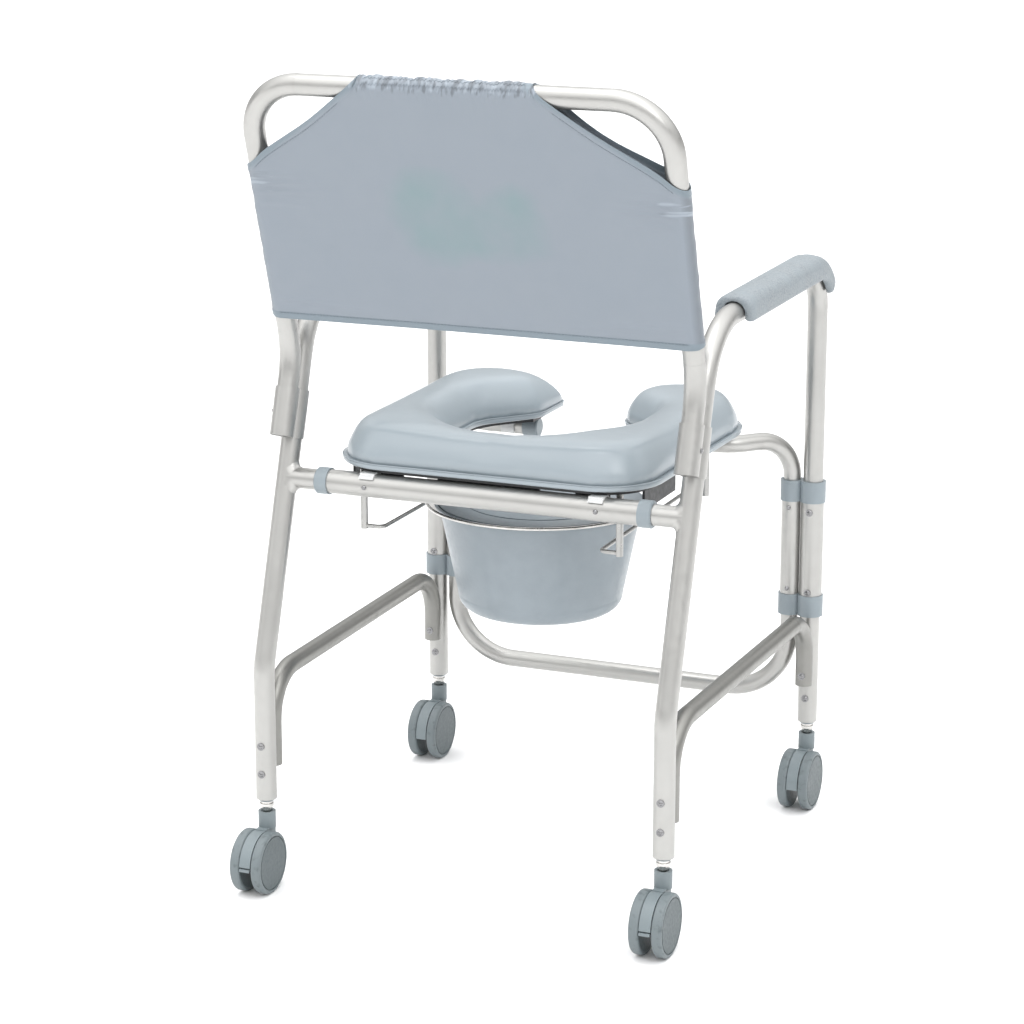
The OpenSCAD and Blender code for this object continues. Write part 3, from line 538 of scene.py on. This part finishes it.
def seat_edges():
    """Outer and inner edge of half the seat, from the horn's tip round to the middle of the rear."""
    low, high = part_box("seat_cushion")
    rear, front, front_half = high.y, low.y, high.x
    hole_rear, hole_front = rear - HOLE_REAR_INSET, front + HOLE_FRONT_INSET
    outline = filleted([
        (0, rear, 0), (SEAT_REAR_HALF, rear, SEAT_REAR_R), (front_half, front, SEAT_FRONT_R),
        (GAP_HALF, front, HORN_TIP_R), (GAP_HALF, hole_front + 5 * MM, HORN_CURVE_R),
        (HOLE_HALF, hole_front + HOLE_FRONT_RUN, HOLE_FRONT_R),
        (HOLE_HALF, hole_rear, HOLE_HALF * 0.985),
        (0, hole_rear, 0)], 2 * MM)
    tip = np.array((GAP_HALF + CORNER * HORN_TIP_R, front + CORNER * HORN_TIP_R))
    turn = int(np.argmin(np.linalg.norm(outline - tip, axis=1)))
    outer, inner = outline[turn::-1], outline[turn:]
    middle = (hole_rear + hole_front) / 2
    outer_marks = [outline[turn], (front_half - SEAT_FRONT_R, front),
                   (front_half - CORNER * SEAT_FRONT_R, front + CORNER * SEAT_FRONT_R),
                   (front_half, hole_front + 50 * MM), (front_half, middle),
                   (SEAT_REAR_HALF - CORNER * SEAT_REAR_R, rear - CORNER * SEAT_REAR_R), (0, rear)]
    inner_marks = [outline[turn], (GAP_HALF, hole_front - 14 * MM),
                   (GAP_HALF + 21 * MM, hole_front + 30 * MM),
                   (HOLE_HALF - 4 * MM, hole_front + 76 * MM), (HOLE_HALF, middle),
                   (HOLE_HALF * 0.71, hole_rear - HOLE_HALF * 0.29), (0, hole_rear)]
    counts = (18, 12, 14, 14, 24, 26)
    halves = []
    for path, marks in ((outer, outer_marks), (inner, inner_marks)):
        pieces = [resampled(part, n + 1)[:-1] for part, n in zip(split_at(path, marks), counts)]
        halves.append(np.concatenate(pieces + [path[-1:]]))
    return halves


def seat_stations():
    """Matching points on the seat's outer and inner edge, from one horn's tip to the other's."""
    return [np.concatenate([half, half[-2::-1] * (-1, 1)]) for half in seat_edges()]


def gap_to(path, points):
    """Distance of each point to the nearest point of a path."""
    return np.array([np.min(np.linalg.norm(path - q, axis=1)) for q in points])


def crown_share(outer_gap, inner_gap):
    """Height of the foam as a share of the full crown, from the distances to the seat's edges.

    It rises steeply at an edge and levels off where the foam is FULL_HALF or more from both.
    """
    depth = outer_gap * inner_gap / np.maximum(outer_gap + inner_gap, 1e-9) / (FULL_HALF / 2)
    return (depth / (1 + depth**6) ** (1 / 6) / 0.94) ** 0.72


def crowned_seat(base_z, seam_z, height, inset):
    """A closed body over the seat's plan: walls up to the seam, then a dome that follows the edges."""
    outer, inner = seat_stations()
    outer_line, inner_line = (resampled(edge, 900) for edge in (outer, inner))
    spread = (1 - np.cos(np.linspace(0, math.pi, 37))) / 2
    rings = []
    for o, i in zip(outer, inner):
        width = np.linalg.norm(i - o)
        if width < 2.4 * inset:
            continue
        along = (i - o) / width
        a, b = o + along * inset, i - along * inset
        flat = a + np.outer(spread, b - a)
        lift = height * crown_share(gap_to(outer_line, flat), gap_to(inner_line, flat))
        lift[0] = lift[-1] = 0
        top = np.c_[flat, seam_z + lift]
        under = np.c_[flat[::-4], np.full(len(flat[::-4]), base_z)]
        rings.append(np.concatenate([top, under]))
    return loft(rings)


def slab_seat(base_z, top_z, low_r, top_r):
    """The seat's base under the seam, with rounded edges."""
    outer, inner = seat_stations()
    side = [(low_r * (1 - math.sin(a)), base_z + low_r * (1 - math.cos(a)))
            for a in np.linspace(0, math.pi / 2, 6)]
    side += [(top_r * (1 - math.cos(a)), top_z - top_r * (1 - math.sin(a)))
             for a in np.linspace(0, math.pi / 2, 5)]
    rings = []
    for o, i in zip(outer, inner):
        width = np.linalg.norm(i - o)
        if width < 2.2 * low_r:
            continue
        along = (i - o) / width
        near = [(*(o + along * gap), z) for gap, z in side]
        far = [(*(i - along * gap), z) for gap, z in side[::-1]]
        rings.append(np.array(near + far))
    return loft(rings)


def inflated(piece, voxel, pressure, cap):
    """Swells a closed mesh as foam fills a taut cover: remeshed, simulated, capped and smoothed."""
    remesh = piece.modifiers.new("Remesh", "REMESH")
    remesh.mode = "VOXEL"
    remesh.voxel_size = voxel
    apply_modifiers(piece)
    count = len(piece.data.vertices)
    rest = np.zeros(count * 3, np.float32)
    piece.data.vertices.foreach_get("co", rest)
    rest = rest.reshape(-1, 3)
    cloth = piece.modifiers.new("Cloth", "CLOTH")
    cloth.settings.use_pressure = True
    cloth.settings.uniform_pressure_force = pressure
    cloth.settings.effector_weights.gravity = 0
    cloth.settings.quality = 5
    cloth.collision_settings.use_collision = False
    scene = bpy.context.scene
    for step in range(1, CLOTH_FRAMES + 1):
        scene.frame_set(step)
    apply_modifiers(piece)
    scene.frame_set(1)
    moved = np.zeros(count * 3, np.float32)
    piece.data.vertices.foreach_get("co", moved)
    shift = moved.reshape(-1, 3) - rest
    size = np.linalg.norm(shift, axis=1)
    rest = rest + shift * np.minimum(1, cap / np.maximum(size, 1e-9))[:, None]
    piece.data.vertices.foreach_set("co", rest.astype(np.float32).ravel())
    smooth = piece.modifiers.new("Smooth", "SMOOTH")
    smooth.factor = 0.5
    smooth.iterations = 6
    apply_modifiers(piece)
    piece.data.polygons.foreach_set("use_smooth", [True] * len(piece.data.polygons))


def apply_modifiers(piece):
    """Replaces a piece's mesh with its evaluated one."""
    bpy.context.view_layer.update()
    graph = bpy.context.evaluated_depsgraph_get()
    made = bpy.data.meshes.new_from_object(piece.evaluated_get(graph))
    old = piece.data
    piece.modifiers.clear()
    piece.data = made
    bpy.data.meshes.remove(old)
    made.name = piece.name


def build_seat():
    """The cushion as a swollen cover over a base, with piping along the seam between them."""
    low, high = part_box("seat_cushion")
    vinyl = finishes["seat_vinyl"]
    seam_z = low.z + SEAM_RISE
    swell = 2.5 * MM
    points, faces = crowned_seat(seam_z - SEAM_TUCK, seam_z, high.z - seam_z - 2 * MM, swell)
    cover = mesh_piece("seat_cushion_cover", points, faces, vinyl, "frame")
    inflated(cover, voxel=4.5 * MM, pressure=4.0, cap=swell)
    finer = cover.modifiers.new("Subdivision", "SUBSURF")
    finer.levels = finer.render_levels = 1
    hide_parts("seat_cushion")

    base_points, base_faces = slab_seat(low.z + 0.2 * MM, seam_z - 0.5 * MM, 3.2 * MM, 1.2 * MM)
    base = mesh_piece("seat_cushion_base", base_points, base_faces, vinyl, "frame")

    outer, inner = seat_stations()
    loop = np.concatenate([outer, inner[::-1][1:-1]])
    path = resampled(np.concatenate([loop, loop[:1]]), PIPING_POINTS + 1)[:-1]
    seam = np.c_[path, np.full(PIPING_POINTS, seam_z)]
    bead_points, bead_faces = round_bar(seam, PIPING_R, 8, closed=True)
    mesh_piece("seat_piping", bead_points, bead_faces, vinyl, "frame")


build_seat()


# ---------- back cover ----------

FABRIC_T = 0.9 * MM
PANEL_DRAW = 4.5 * MM
WAVE_DEPTH = 1.1 * MM
PULL_DEPTH = 0.5 * MM
WAVE_FADE = 25 * MM
RUCHE_FADE = 21 * MM
CRIMP_DEPTH = 0.8 * MM
THREAD_PROUD = 0.25 * MM
THREAD_LIFT = 0.45 * MM
# how much of a distance straight down the cloth is left when it is measured across the slanting hem
SLANT_SHARE = 0.82
STRIP_COLUMNS, FLAT_COLUMNS, ARC_COLUMNS, CLOTH_ROWS = 161, 30, 13, 150
ZIGZAG_PITCH = 4.4 * MM
ZIGZAG_HALF = 1.6 * MM
# how far each panel's chamfer sags below a straight line, in mm, at shares of its width
SAG_AT = (0, 0.1, 0.2, 0.3, 0.4, 0.5, 0.6, 0.7, 0.78, 0.84, 0.9, 1)
REAR_SAG = (0, 1, 2, 3, 3.4, 2.6, 1, -0.6, -1.6, -1.6, 0, 0)
FRONT_SAG = (0, 6, 10.5, 13.2, 14, 12.8, 10, 6.6, 4, 2, 0, 0)
# creases beside each upright, in mm: height above the hem, depth, run inward, width; then the tilt
CREASES = (
    (172, 2.2, 52, 2.2, 0.05), (162, 1.8, 60, 2.4, 0.02), (149, 1.3, 44, 2.8, -0.04),
    (181, 1.4, 34, 2.0, 0.10), (26, 1.0, 80, 4.0, -0.06),
)


class BackPlane:
    """The raked plane of the back: x across, w down from the top bar's axis, v out to the rear."""

    def __init__(self):
        _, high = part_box("back_tube")
        shell_low, shell_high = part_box("back_upholstery")
        self.half = high.x - TUBE_R
        self.top = Vector((0, high.y - TUBE_R, high.z - TUBE_R))
        self.down = Vector((0, -math.sin(BACK_RAKE), -math.cos(BACK_RAKE)))
        self.out = Vector((0, math.cos(BACK_RAKE), -math.sin(BACK_RAKE)))
        drop = self.top.z - shell_low.z
        self.length = (drop - (shell_high.x - self.half) * math.sin(BACK_RAKE)) / math.cos(BACK_RAKE)
        self.crest = self.length + COVER_R * math.pi / 2

    def point(self, x, v, w):
        """Row-frame points from arrays of plane coordinates."""
        x, v, w = np.broadcast_arrays(x, v, w)
        p = np.outer(v.ravel(), self.out) + np.outer(w.ravel(), self.down) + np.array(self.top)
        p[:, 0] += x.ravel()
        return p.reshape(*x.shape, 3)

    def edge(self, x, front):
        """w of the chamfered edge at x, negative above the bar's axis.

        front is 0 on the rear panel and 1 on the front one.
        """
        top = TOP_HALF + math.copysign(TOP_SHIFT, x)
        share = (abs(x) - top) / (self.half + COVER_R - top)
        straight = -COVER_R + share * (CHAMFER_DROP + COVER_R)
        rear_sag = np.interp(share, SAG_AT, REAR_SAG)
        front_sag = np.interp(share, SAG_AT, FRONT_SAG)
        return straight + (rear_sag * (1 - front) + front_sag * front) * MM

    def reach(self, x, front=0.0):
        """Length of cloth from the bottom hem up to its edge at x, over the top bar."""
        w = self.edge(x, front)
        if w >= 0:
            return self.length - w
        return self.length + COVER_R * math.asin(min(-w / COVER_R, 1.0))


plane = BackPlane()


def smoothstep(t):
    """0 to 1 as t does, with level ends."""
    t = np.clip(t, 0, 1)
    return t * t * (3 - 2 * t)


def cover_rows(reach, count):
    """Distances up the cloth from the hem: close rows at both hems, even ones between."""
    hem = np.array([0, 0.5, 1.6, 4.0, 6.4, 7.0, 7.5, 8.0, 8.7, 10.5]) * MM
    middle = np.linspace(hem[-1], reach - hem[-1], count)[1:-1]
    return np.concatenate([hem, middle, reach - hem[::-1]])


def hem_relief(distance):
    """Folded double edge: a little proud, with a stitched dip at its inner side."""
    band = 0.7 * MM * (1 - smoothstep((distance - HEM) / (1.2 * MM)))
    dip = -0.55 * MM * np.exp(-(((distance - HEM) / (0.7 * MM)) ** 2))
    return band + dip


def noise_field(x, up, place):
    """Noise for each point of two arrays, looked up at place(x, up)."""
    spots = zip(x.ravel(), up.ravel())
    return np.array([noise.noise(Vector(place(a, b))) for a, b in spots]).reshape(x.shape)


def panel_relief(x, up):
    """Draws the panels in between the tubes, with creases beside the uprights and a soft wave."""
    side = np.clip(1 - (np.abs(x) / plane.half) ** 2, 0, 1)
    height = np.clip(up / plane.length, 0, 1)
    draw = -PANEL_DRAW * side * np.sin(math.pi * height * 0.92 + 0.25)
    crease = np.zeros_like(draw)
    for level, depth, run, width, tilt in CREASES:
        inward = plane.half - np.abs(x)
        line = up - (level * MM + tilt * inward)
        fade = np.exp(-((inward / (run * MM)) ** 2)) * smoothstep((inward + 6 * MM) / (14 * MM))
        crease += depth * MM * np.exp(-((line / (width * MM)) ** 2)) * fade
    wave = noise_field(x, up, lambda a, b: (a / 0.11, b / 0.07, 3.7)) * WAVE_DEPTH * side
    pull = noise_field(x, up, lambda a, b: (a / 0.16 + b / 0.2, b / 0.014, 9.1)) * PULL_DEPTH
    pull = pull * np.exp(-((plane.half - np.abs(x)) / 0.05) ** 2)
    return draw + crease + wave + pull


def ruche_relief(x, over):
    """Gathers along the top bar. over is the distance along the cloth from the bar's top line."""
    inside = TOP_HALF + 4 * MM - np.abs(x - TOP_SHIFT)
    fade = np.exp(-((over / RUCHE_FADE) ** 2)) * smoothstep(inside / (12 * MM))
    fine = noise_field(x, over, lambda a, b: (a / 0.0048, b / 0.021, 1.3))
    broad = noise_field(x, over, lambda a, b: (a / 0.012 + b / 0.03, b / 0.03, 7.9))
    return (2.2 * fine + 1.8 * broad + 0.5) * MM * fade


def wrapped(x, up, relief):
    """Points of cloth at distance up from the rear hem: up the rear, over the bar, down the front."""
    over = COVER_R * math.pi
    angle = np.clip((up - plane.length) / COVER_R, 0, math.pi)
    radius = COVER_R + relief
    v = radius * np.cos(angle)
    w = -radius * np.sin(angle)
    w = w + np.where(up < plane.length, plane.length - up, 0)
    w = w + np.where(up > plane.length + over, up - plane.length - over, 0)
    return plane.point(x, v, w)


def centre_patch(columns, count):
    """The strip that goes over the top bar, from the rear hem to the front hem."""
    rise = cover_rows(plane.crest, count)
    total = 2 * rise[-1]
    up = np.concatenate([rise, (total - rise[::-1])[1:]])
    x, up = np.meshgrid(np.linspace(TOP_SHIFT - TOP_HALF, TOP_SHIFT + TOP_HALF, columns), up)
    low_edge = np.minimum(up, total - up)
    relief = hem_relief(low_edge)
    fade = smoothstep((plane.length - low_edge) / WAVE_FADE)
    relief = relief + panel_relief(x, low_edge) * fade
    relief = relief + ruche_relief(x, up - total / 2)
    return wrapped(x, up, relief)


def side_patch(s, flat_columns, arc_columns, count):
    """From the strip's edge outward, round an upright and back in on the front, cut at the chamfer."""
    flat = np.linspace(TOP_HALF + s * TOP_SHIFT, plane.half, flat_columns)
    angles = np.linspace(0, math.pi, arc_columns)[1:-1]
    columns = [(x, 1, 0.0) for x in flat]
    columns += [(plane.half + COVER_R * math.sin(a), 0, a) for a in angles]
    columns += [(x, -1, math.pi) for x in flat[::-1]]
    grid = []
    for x, facing, angle in columns:
        reach = plane.reach(s * x, angle / math.pi)
        up = cover_rows(reach, count)
        xs = np.full_like(up, x)
        relief = hem_relief(np.minimum(up, (reach - up) * SLANT_SHARE))
        if facing:
            fade = smoothstep((plane.length - up) / WAVE_FADE)
            relief = relief + panel_relief(s * xs, up) * fade
            relief = relief + ruche_relief(s * xs, up - plane.crest)
            path_up = up if facing > 0 else 2 * plane.crest - up
            points = wrapped(s * xs, path_up, relief)
        else:
            crimp = np.array([noise.noise(Vector((angle * 2, b / 0.016, 5.0 + s))) for b in up])
            radius = COVER_R + relief + crimp * CRIMP_DEPTH
            out = plane.half + radius * math.sin(angle)
            points = plane.point(s * out, radius * math.cos(angle), plane.length - up)
        grid.append(points)
    return np.stack(grid)


def merged_mesh(name, patches, material, body):
    """Several patches as one piece, joined where their edges meet."""
    points, faces = joined(patches)
    piece = mesh_piece(name, points, faces, material, body)
    bm = bmesh.new()
    bm.from_mesh(piece.data)
    bmesh.ops.remove_doubles(bm, verts=bm.verts, dist=0.02 * MM)
    bmesh.ops.recalc_face_normals(bm, faces=bm.faces)
    bm.to_mesh(piece.data)
    bm.free()
    piece.data.polygons.foreach_set("use_smooth", [True] * len(piece.data.polygons))
    return piece


def stitch_row(path, normal_of, length=3.0 * MM, gap=1.2 * MM, radius=0.32 * MM):
    """Short thread loops along a path, a little sunk into the cloth."""
    path = np.asarray(path, float)
    total = np.linalg.norm(np.diff(path, axis=0), axis=1).sum()
    count = max(int(total / (length + gap)), 1)
    spots = resampled(path, count * 4 + 1)
    parts = []
    for i in range(count):
        run = spots[4 * i:4 * i + 4]
        lift = np.array([0.0, 1.0, 1.0, 0.0])[:, None] * np.asarray(normal_of) * THREAD_LIFT
        parts.append(round_bar(run + lift, radius, 5, up=normal_of))
    return joined(parts)


def zigzag_row(below):
    """Zig-zag seam that holds the gathers, this far down the rear from the bar's top line."""
    turns = int(2 * TOP_HALF / ZIGZAG_PITCH) * 2
    x = np.linspace(TOP_SHIFT - TOP_HALF + HEM, TOP_SHIFT + TOP_HALF - HEM, turns + 1)
    up = plane.crest - below + np.where(np.arange(turns + 1) % 2, 1, -1) * ZIGZAG_HALF
    path = wrapped(x, up, ruche_relief(x, up - plane.crest) + THREAD_PROUD)
    return round_bar(path, 0.35 * MM, 5, up=tuple(plane.out))


def build_back():
    """The cover that slips over the back's tube, with its stitching."""
    strip = centre_patch(STRIP_COLUMNS, CLOTH_ROWS)
    patches = [(strip.reshape(-1, 3), grid_faces(*strip.shape[:2]))]
    for s in SIDES:
        side = side_patch(s, FLAT_COLUMNS, ARC_COLUMNS, CLOTH_ROWS)
        patches.append((side.reshape(-1, 3), grid_faces(*side.shape[:2])))
    cover = merged_mesh("back_cover", patches, finishes["back_fabric"], "back")
    thicken = cover.modifiers.new("Solidify", "SOLIDIFY")
    thicken.thickness = FABRIC_T
    thicken.offset = -1
    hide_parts("back_upholstery")

    thread = back_fabric("back_thread", (0.165, 0.195, 0.226))
    rows = []
    surface = COVER_R + THREAD_PROUD
    for facing in (1, -1):
        xs = np.linspace(-plane.half, plane.half, 200)
        up = np.full_like(xs, HEM)
        draw = panel_relief(xs, up)
        hem = plane.point(xs, facing * (surface + draw), plane.length - up)
        rows.append(stitch_row(hem, tuple(facing * plane.out)))
        for s in SIDES:
            xs = np.linspace(TOP_HALF + s * TOP_SHIFT + 24 * MM, plane.half, 60)
            up = np.array([plane.reach(s * x, (1 - facing) / 2) for x in xs]) - HEM / SLANT_SHARE
            draw = panel_relief(s * xs, up) * smoothstep((plane.length - up) / WAVE_FADE)
            line = plane.point(s * xs, facing * (surface + draw), plane.length - up)
            rows.append(stitch_row(line, tuple(facing * plane.out)))
    rows += [zigzag_row(below) for below in (3 * MM, 11 * MM)]
    points, faces = joined(rows)
    stitching = mesh_piece("back_stitching", points, faces, thread, "back")


build_back()


# ---------- arm pads ----------

PAD_HALF = 24 * MM
PAD_TOP = 20 * MM
PAD_LOW = -9 * MM
CHANNEL_R = 14.2 * MM
RAIL_BEND_R = 55 * MM
PAD_WRAP = math.radians(62)
PAD_RUN = 258 * MM
PAD_ROUND = 7 * MM
RAIL_REAR_Y, RAIL_REAR_Z, RAIL_FRONT_Z = 102.9 * MM, 695 * MM, 703 * MM


def pad_section(shrink):
    """Inverted U round the rail, as (up, across) pairs. shrink draws the outside in at the ends."""
    half, top, low = PAD_HALF - shrink, PAD_TOP - shrink, PAD_LOW + 0.35 * shrink
    shoulder, lip, crest = 15 * MM, 4 * MM, 1.2 * MM
    crown = [(top + crest * math.cos(t * math.pi / 2), (half - shoulder) * t)
             for t in np.linspace(0, 0.9, 6)]
    outside = []
    for i in range(11):
        a = math.radians(-12 + 8.5 * i)
        swing = a + math.radians(12)
        outside.append((top - shoulder + shoulder * math.cos(swing) - 1.5 * MM * math.sin(a),
                        half - shoulder + shoulder * math.sin(swing)))
    wall = [(low + lip + (top - shoulder - low - lip) * t, half + 1.0 * MM * (1 - t))
            for t in (0.8, 0.5, 0.2)]
    foot = []
    for i in range(7):
        a = math.radians(i * 30)
        foot.append((low + lip - lip * math.sin(a), (half + CHANNEL_R) / 2 + 0.5 * MM
                     + (half + 1 * MM - CHANNEL_R) / 2 * math.cos(a)))
    inner = [(PAD_LOW * (1 - t), CHANNEL_R) for t in (0.35, 0.7)]
    arch = [(CHANNEL_R * math.sin(a), CHANNEL_R * math.cos(a))
            for a in np.linspace(0, math.pi / 2, 9)]
    half_loop = crown + outside + wall + foot + inner + arch
    return half_loop + [(u, -v) for u, v in half_loop[-2:0:-1]]


def pad_rings(s):
    """Rings of an arm pad, along the rail and part way down the front bend."""
    low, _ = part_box("side_tube_left")
    rear = Vector((axle_x("rear_left_axle"), RAIL_REAR_Y, RAIL_REAR_Z))
    front = Vector((axle_x("front_left_axle"), low.y + TUBE_R, RAIL_FRONT_Z))
    down = Vector((0, 0, -1))
    along = (front - rear).normalized()
    turn = along.angle(down)
    setback = RAIL_BEND_R * math.tan(turn / 2)
    up = -(down - along * along.dot(down)).normalized()
    across = along.cross(up)
    start = front - along * setback
    centre = start - up * RAIL_BEND_R
    rings = []

    def ring(place, u, tuck):
        return np.array([(place + u * a + across * b) for a, b in pad_section(tuck)])

    total = PAD_RUN + PAD_WRAP * RAIL_BEND_R
    ends = [PAD_ROUND * (1 - math.cos(t)) for t in np.linspace(0, math.pi / 2, 7)]
    marks = ends + list(np.linspace(PAD_ROUND, total - PAD_ROUND, 70)[1:-1])
    marks += [total - e for e in ends[::-1]]
    for d in marks:
        gap = min(d, total - d)
        tuck = 0.0
        if gap < PAD_ROUND:
            tuck = PAD_ROUND * 0.8 * (1 - math.sqrt(1 - (1 - gap / PAD_ROUND) ** 2))
        if d <= PAD_RUN:
            rings.append(ring(start - along * (PAD_RUN - d), up, tuck))
        else:
            a = (d - PAD_RUN) / RAIL_BEND_R
            u = up * math.cos(a) + along * math.sin(a)
            rings.append(ring(centre + u * RAIL_BEND_R, u, tuck))
    return [r * (s, 1, 1) for r in rings]


def build_arm_pads():
    """The two pads; the right one is the left one mirrored, so its faces are turned."""
    skin = finishes["arm_foam"]
    for s, name in zip(SIDES, ("left", "right")):
        points, faces = loft(pad_rings(s))
        if s < 0:
            faces = [tuple(reversed(f)) for f in faces]
        pad = mesh_piece(f"arm_pad_skin_{name}", points, faces, skin, "frame")
        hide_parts(f"arm_pad_{name}")


build_arm_pads()


# ---------- welds ----------

LEG_LEAN = math.radians(17.8)
WELD_WIDTH = 7 * MM
WELD_STEPS, WELD_ROWS = 72, 7
WELD_GAP = 0.1 * MM
WELD_SINK = 0.05 * MM
WELD_REACH = 0.985 * TUBE_R


def weld_fillet(s):
    """Smooth flare where a crossbar stub is welded to the leaning leg."""
    low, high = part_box("rear_crossbar")
    centre = (low + high) / 2
    leg_x = axle_x("rear_left_axle")
    sin_lean, cos_lean = math.sin(LEG_LEAN), math.cos(LEG_LEAN)
    points = []
    for k in range(WELD_STEPS):
        turn = 2 * math.pi * k / WELD_STEPS
        for share in np.linspace(0, 1, WELD_ROWS):
            reach = TUBE_R + WELD_GAP + WELD_WIDTH * (1 - math.sqrt(max(1 - share**2, 0)))
            off = reach * math.sin(turn)
            off = math.copysign(min(abs(off), WELD_REACH), off)
            leg_face = leg_x - math.sqrt(TUBE_R**2 - off**2) - WELD_SINK
            out = leg_face - WELD_WIDTH * (1 - share)
            points.append((s * out, centre.y + off * cos_lean - reach * math.cos(turn) * sin_lean,
                           centre.z + reach * math.cos(turn) * cos_lean + off * sin_lean))
    faces = grid_faces(WELD_STEPS, WELD_ROWS)
    last = (WELD_STEPS - 1) * WELD_ROWS
    faces += [(last + j, last + j + 1, j + 1, j) for j in range(WELD_ROWS - 1)]
    return points, faces


def build_welds():
    fillets = [weld_fillet(s) for s in SIDES]
    metal = finishes["aluminium_tube"]
    merged_mesh("crossbar_welds", fillets, metal, "frame")


build_welds()


# ---------- stage ----------

CAMERA_AZIMUTH, CAMERA_ELEVATION = math.radians(202.59), math.radians(14.743)
CAMERA_PLACE = Vector((-1.3171, 3.2467, 1.3509))
LENS, SENSOR_WIDTH = 105.5, 36
AIM = (0, 0, 0.5)
SKY_LOW, SKY_HIGH, CAMERA_SIDE, FAR_SIDE = 0.42, 2.1, 1.2, 0.85
FLOOR_HALF = 40.0
KEY_WATTS, FILL_WATTS, TOP_WATTS = 20, 6, 30


def add_floor():
    mesh = bpy.data.meshes.new("floor")
    corners = [(x * FLOOR_HALF, y * FLOOR_HALF, 0) for x, y in ((-1, -1), (1, -1), (1, 1), (-1, 1))]
    mesh.from_pydata(corners, [], [(0, 1, 2, 3)])
    mesh.materials.append(floor_material())
    floor = bpy.data.objects.new("floor", mesh)
    bpy.context.scene.collection.objects.link(floor)


def add_light(name, place, size, watts):
    """A rectangular lamp that faces the chair."""
    data = bpy.data.lights.new(name, "AREA")
    data.shape = "RECTANGLE"
    data.size, data.size_y = size
    data.energy = watts
    light = bpy.data.objects.new(name, data)
    bpy.context.scene.collection.objects.link(light)
    light.location = place
    light.rotation_mode = "QUATERNION"
    light.rotation_quaternion = (Vector(AIM) - Vector(place)).to_track_quat("-Z", "Y")


def add_world():
    """A white studio, brighter overhead and on the camera's side: tubes darken at their edges."""
    world = bpy.data.worlds.new("studio")
    world.use_nodes = True
    tree = world.node_tree
    background = tree.nodes["Background"]
    background.inputs["Color"].default_value = (1, 1, 1, 1)
    coords = tree.nodes.new("ShaderNodeTexCoord").outputs["Generated"]
    split = tree.nodes.new("ShaderNodeSeparateXYZ")
    tree.links.new(coords, split.inputs[0])

    def ranged(value, low, high, to_low, to_high):
        node = tree.nodes.new("ShaderNodeMapRange")
        node.interpolation_type = "SMOOTHSTEP"
        tree.links.new(value, node.inputs["Value"])
        for socket, number in zip(RANGE_SOCKETS, (low, high, to_low, to_high)):
            node.inputs[socket].default_value = number
        return node.outputs["Result"]

    def times(a, b):
        node = tree.nodes.new("ShaderNodeMath")
        node.operation = "MULTIPLY"
        tree.links.new(a, node.inputs[0])
        tree.links.new(b, node.inputs[1])
        return node.outputs[0]

    facing = tree.nodes.new("ShaderNodeVectorMath")
    facing.operation = "DOT_PRODUCT"
    tree.links.new(coords, facing.inputs[0])
    facing.inputs[1].default_value = (-math.sin(CAMERA_AZIMUTH), math.cos(CAMERA_AZIMUTH), 0)
    overhead = ranged(split.outputs["Z"], 0.0, 0.9, SKY_LOW, SKY_HIGH)
    side_light = ranged(facing.outputs["Value"], -0.8, 0.75, CAMERA_SIDE, FAR_SIDE)
    tree.links.new(times(overhead, side_light), background.inputs["Strength"])
    bpy.context.scene.world = world


def add_camera():
    data = bpy.data.cameras.new("camera")
    data.lens, data.sensor_width = LENS, SENSOR_WIDTH
    camera = bpy.data.objects.new("camera", data)
    bpy.context.scene.collection.objects.link(camera)
    level = math.cos(CAMERA_ELEVATION)
    back = Vector((math.sin(CAMERA_AZIMUTH) * level, -math.cos(CAMERA_AZIMUTH) * level,
                   math.sin(CAMERA_ELEVATION)))
    camera.location = CAMERA_PLACE
    camera.rotation_mode = "QUATERNION"
    camera.rotation_quaternion = (-back).to_track_quat("-Z", "Y")
    bpy.context.scene.camera = camera


def light_the_studio():
    add_light("key", (-2.6, 2.4, 3.0), (1.2, 1.6), KEY_WATTS)
    add_light("fill", (3.0, 1.8, 1.4), (0.9, 2.2), FILL_WATTS)
    add_light("top", (0.2, 0.4, 3.4), (2.2, 1.2), TOP_WATTS)


add_floor()
add_world()
add_camera()
light_the_studio()
bpy.context.scene.view_settings.view_transform = "Standard"
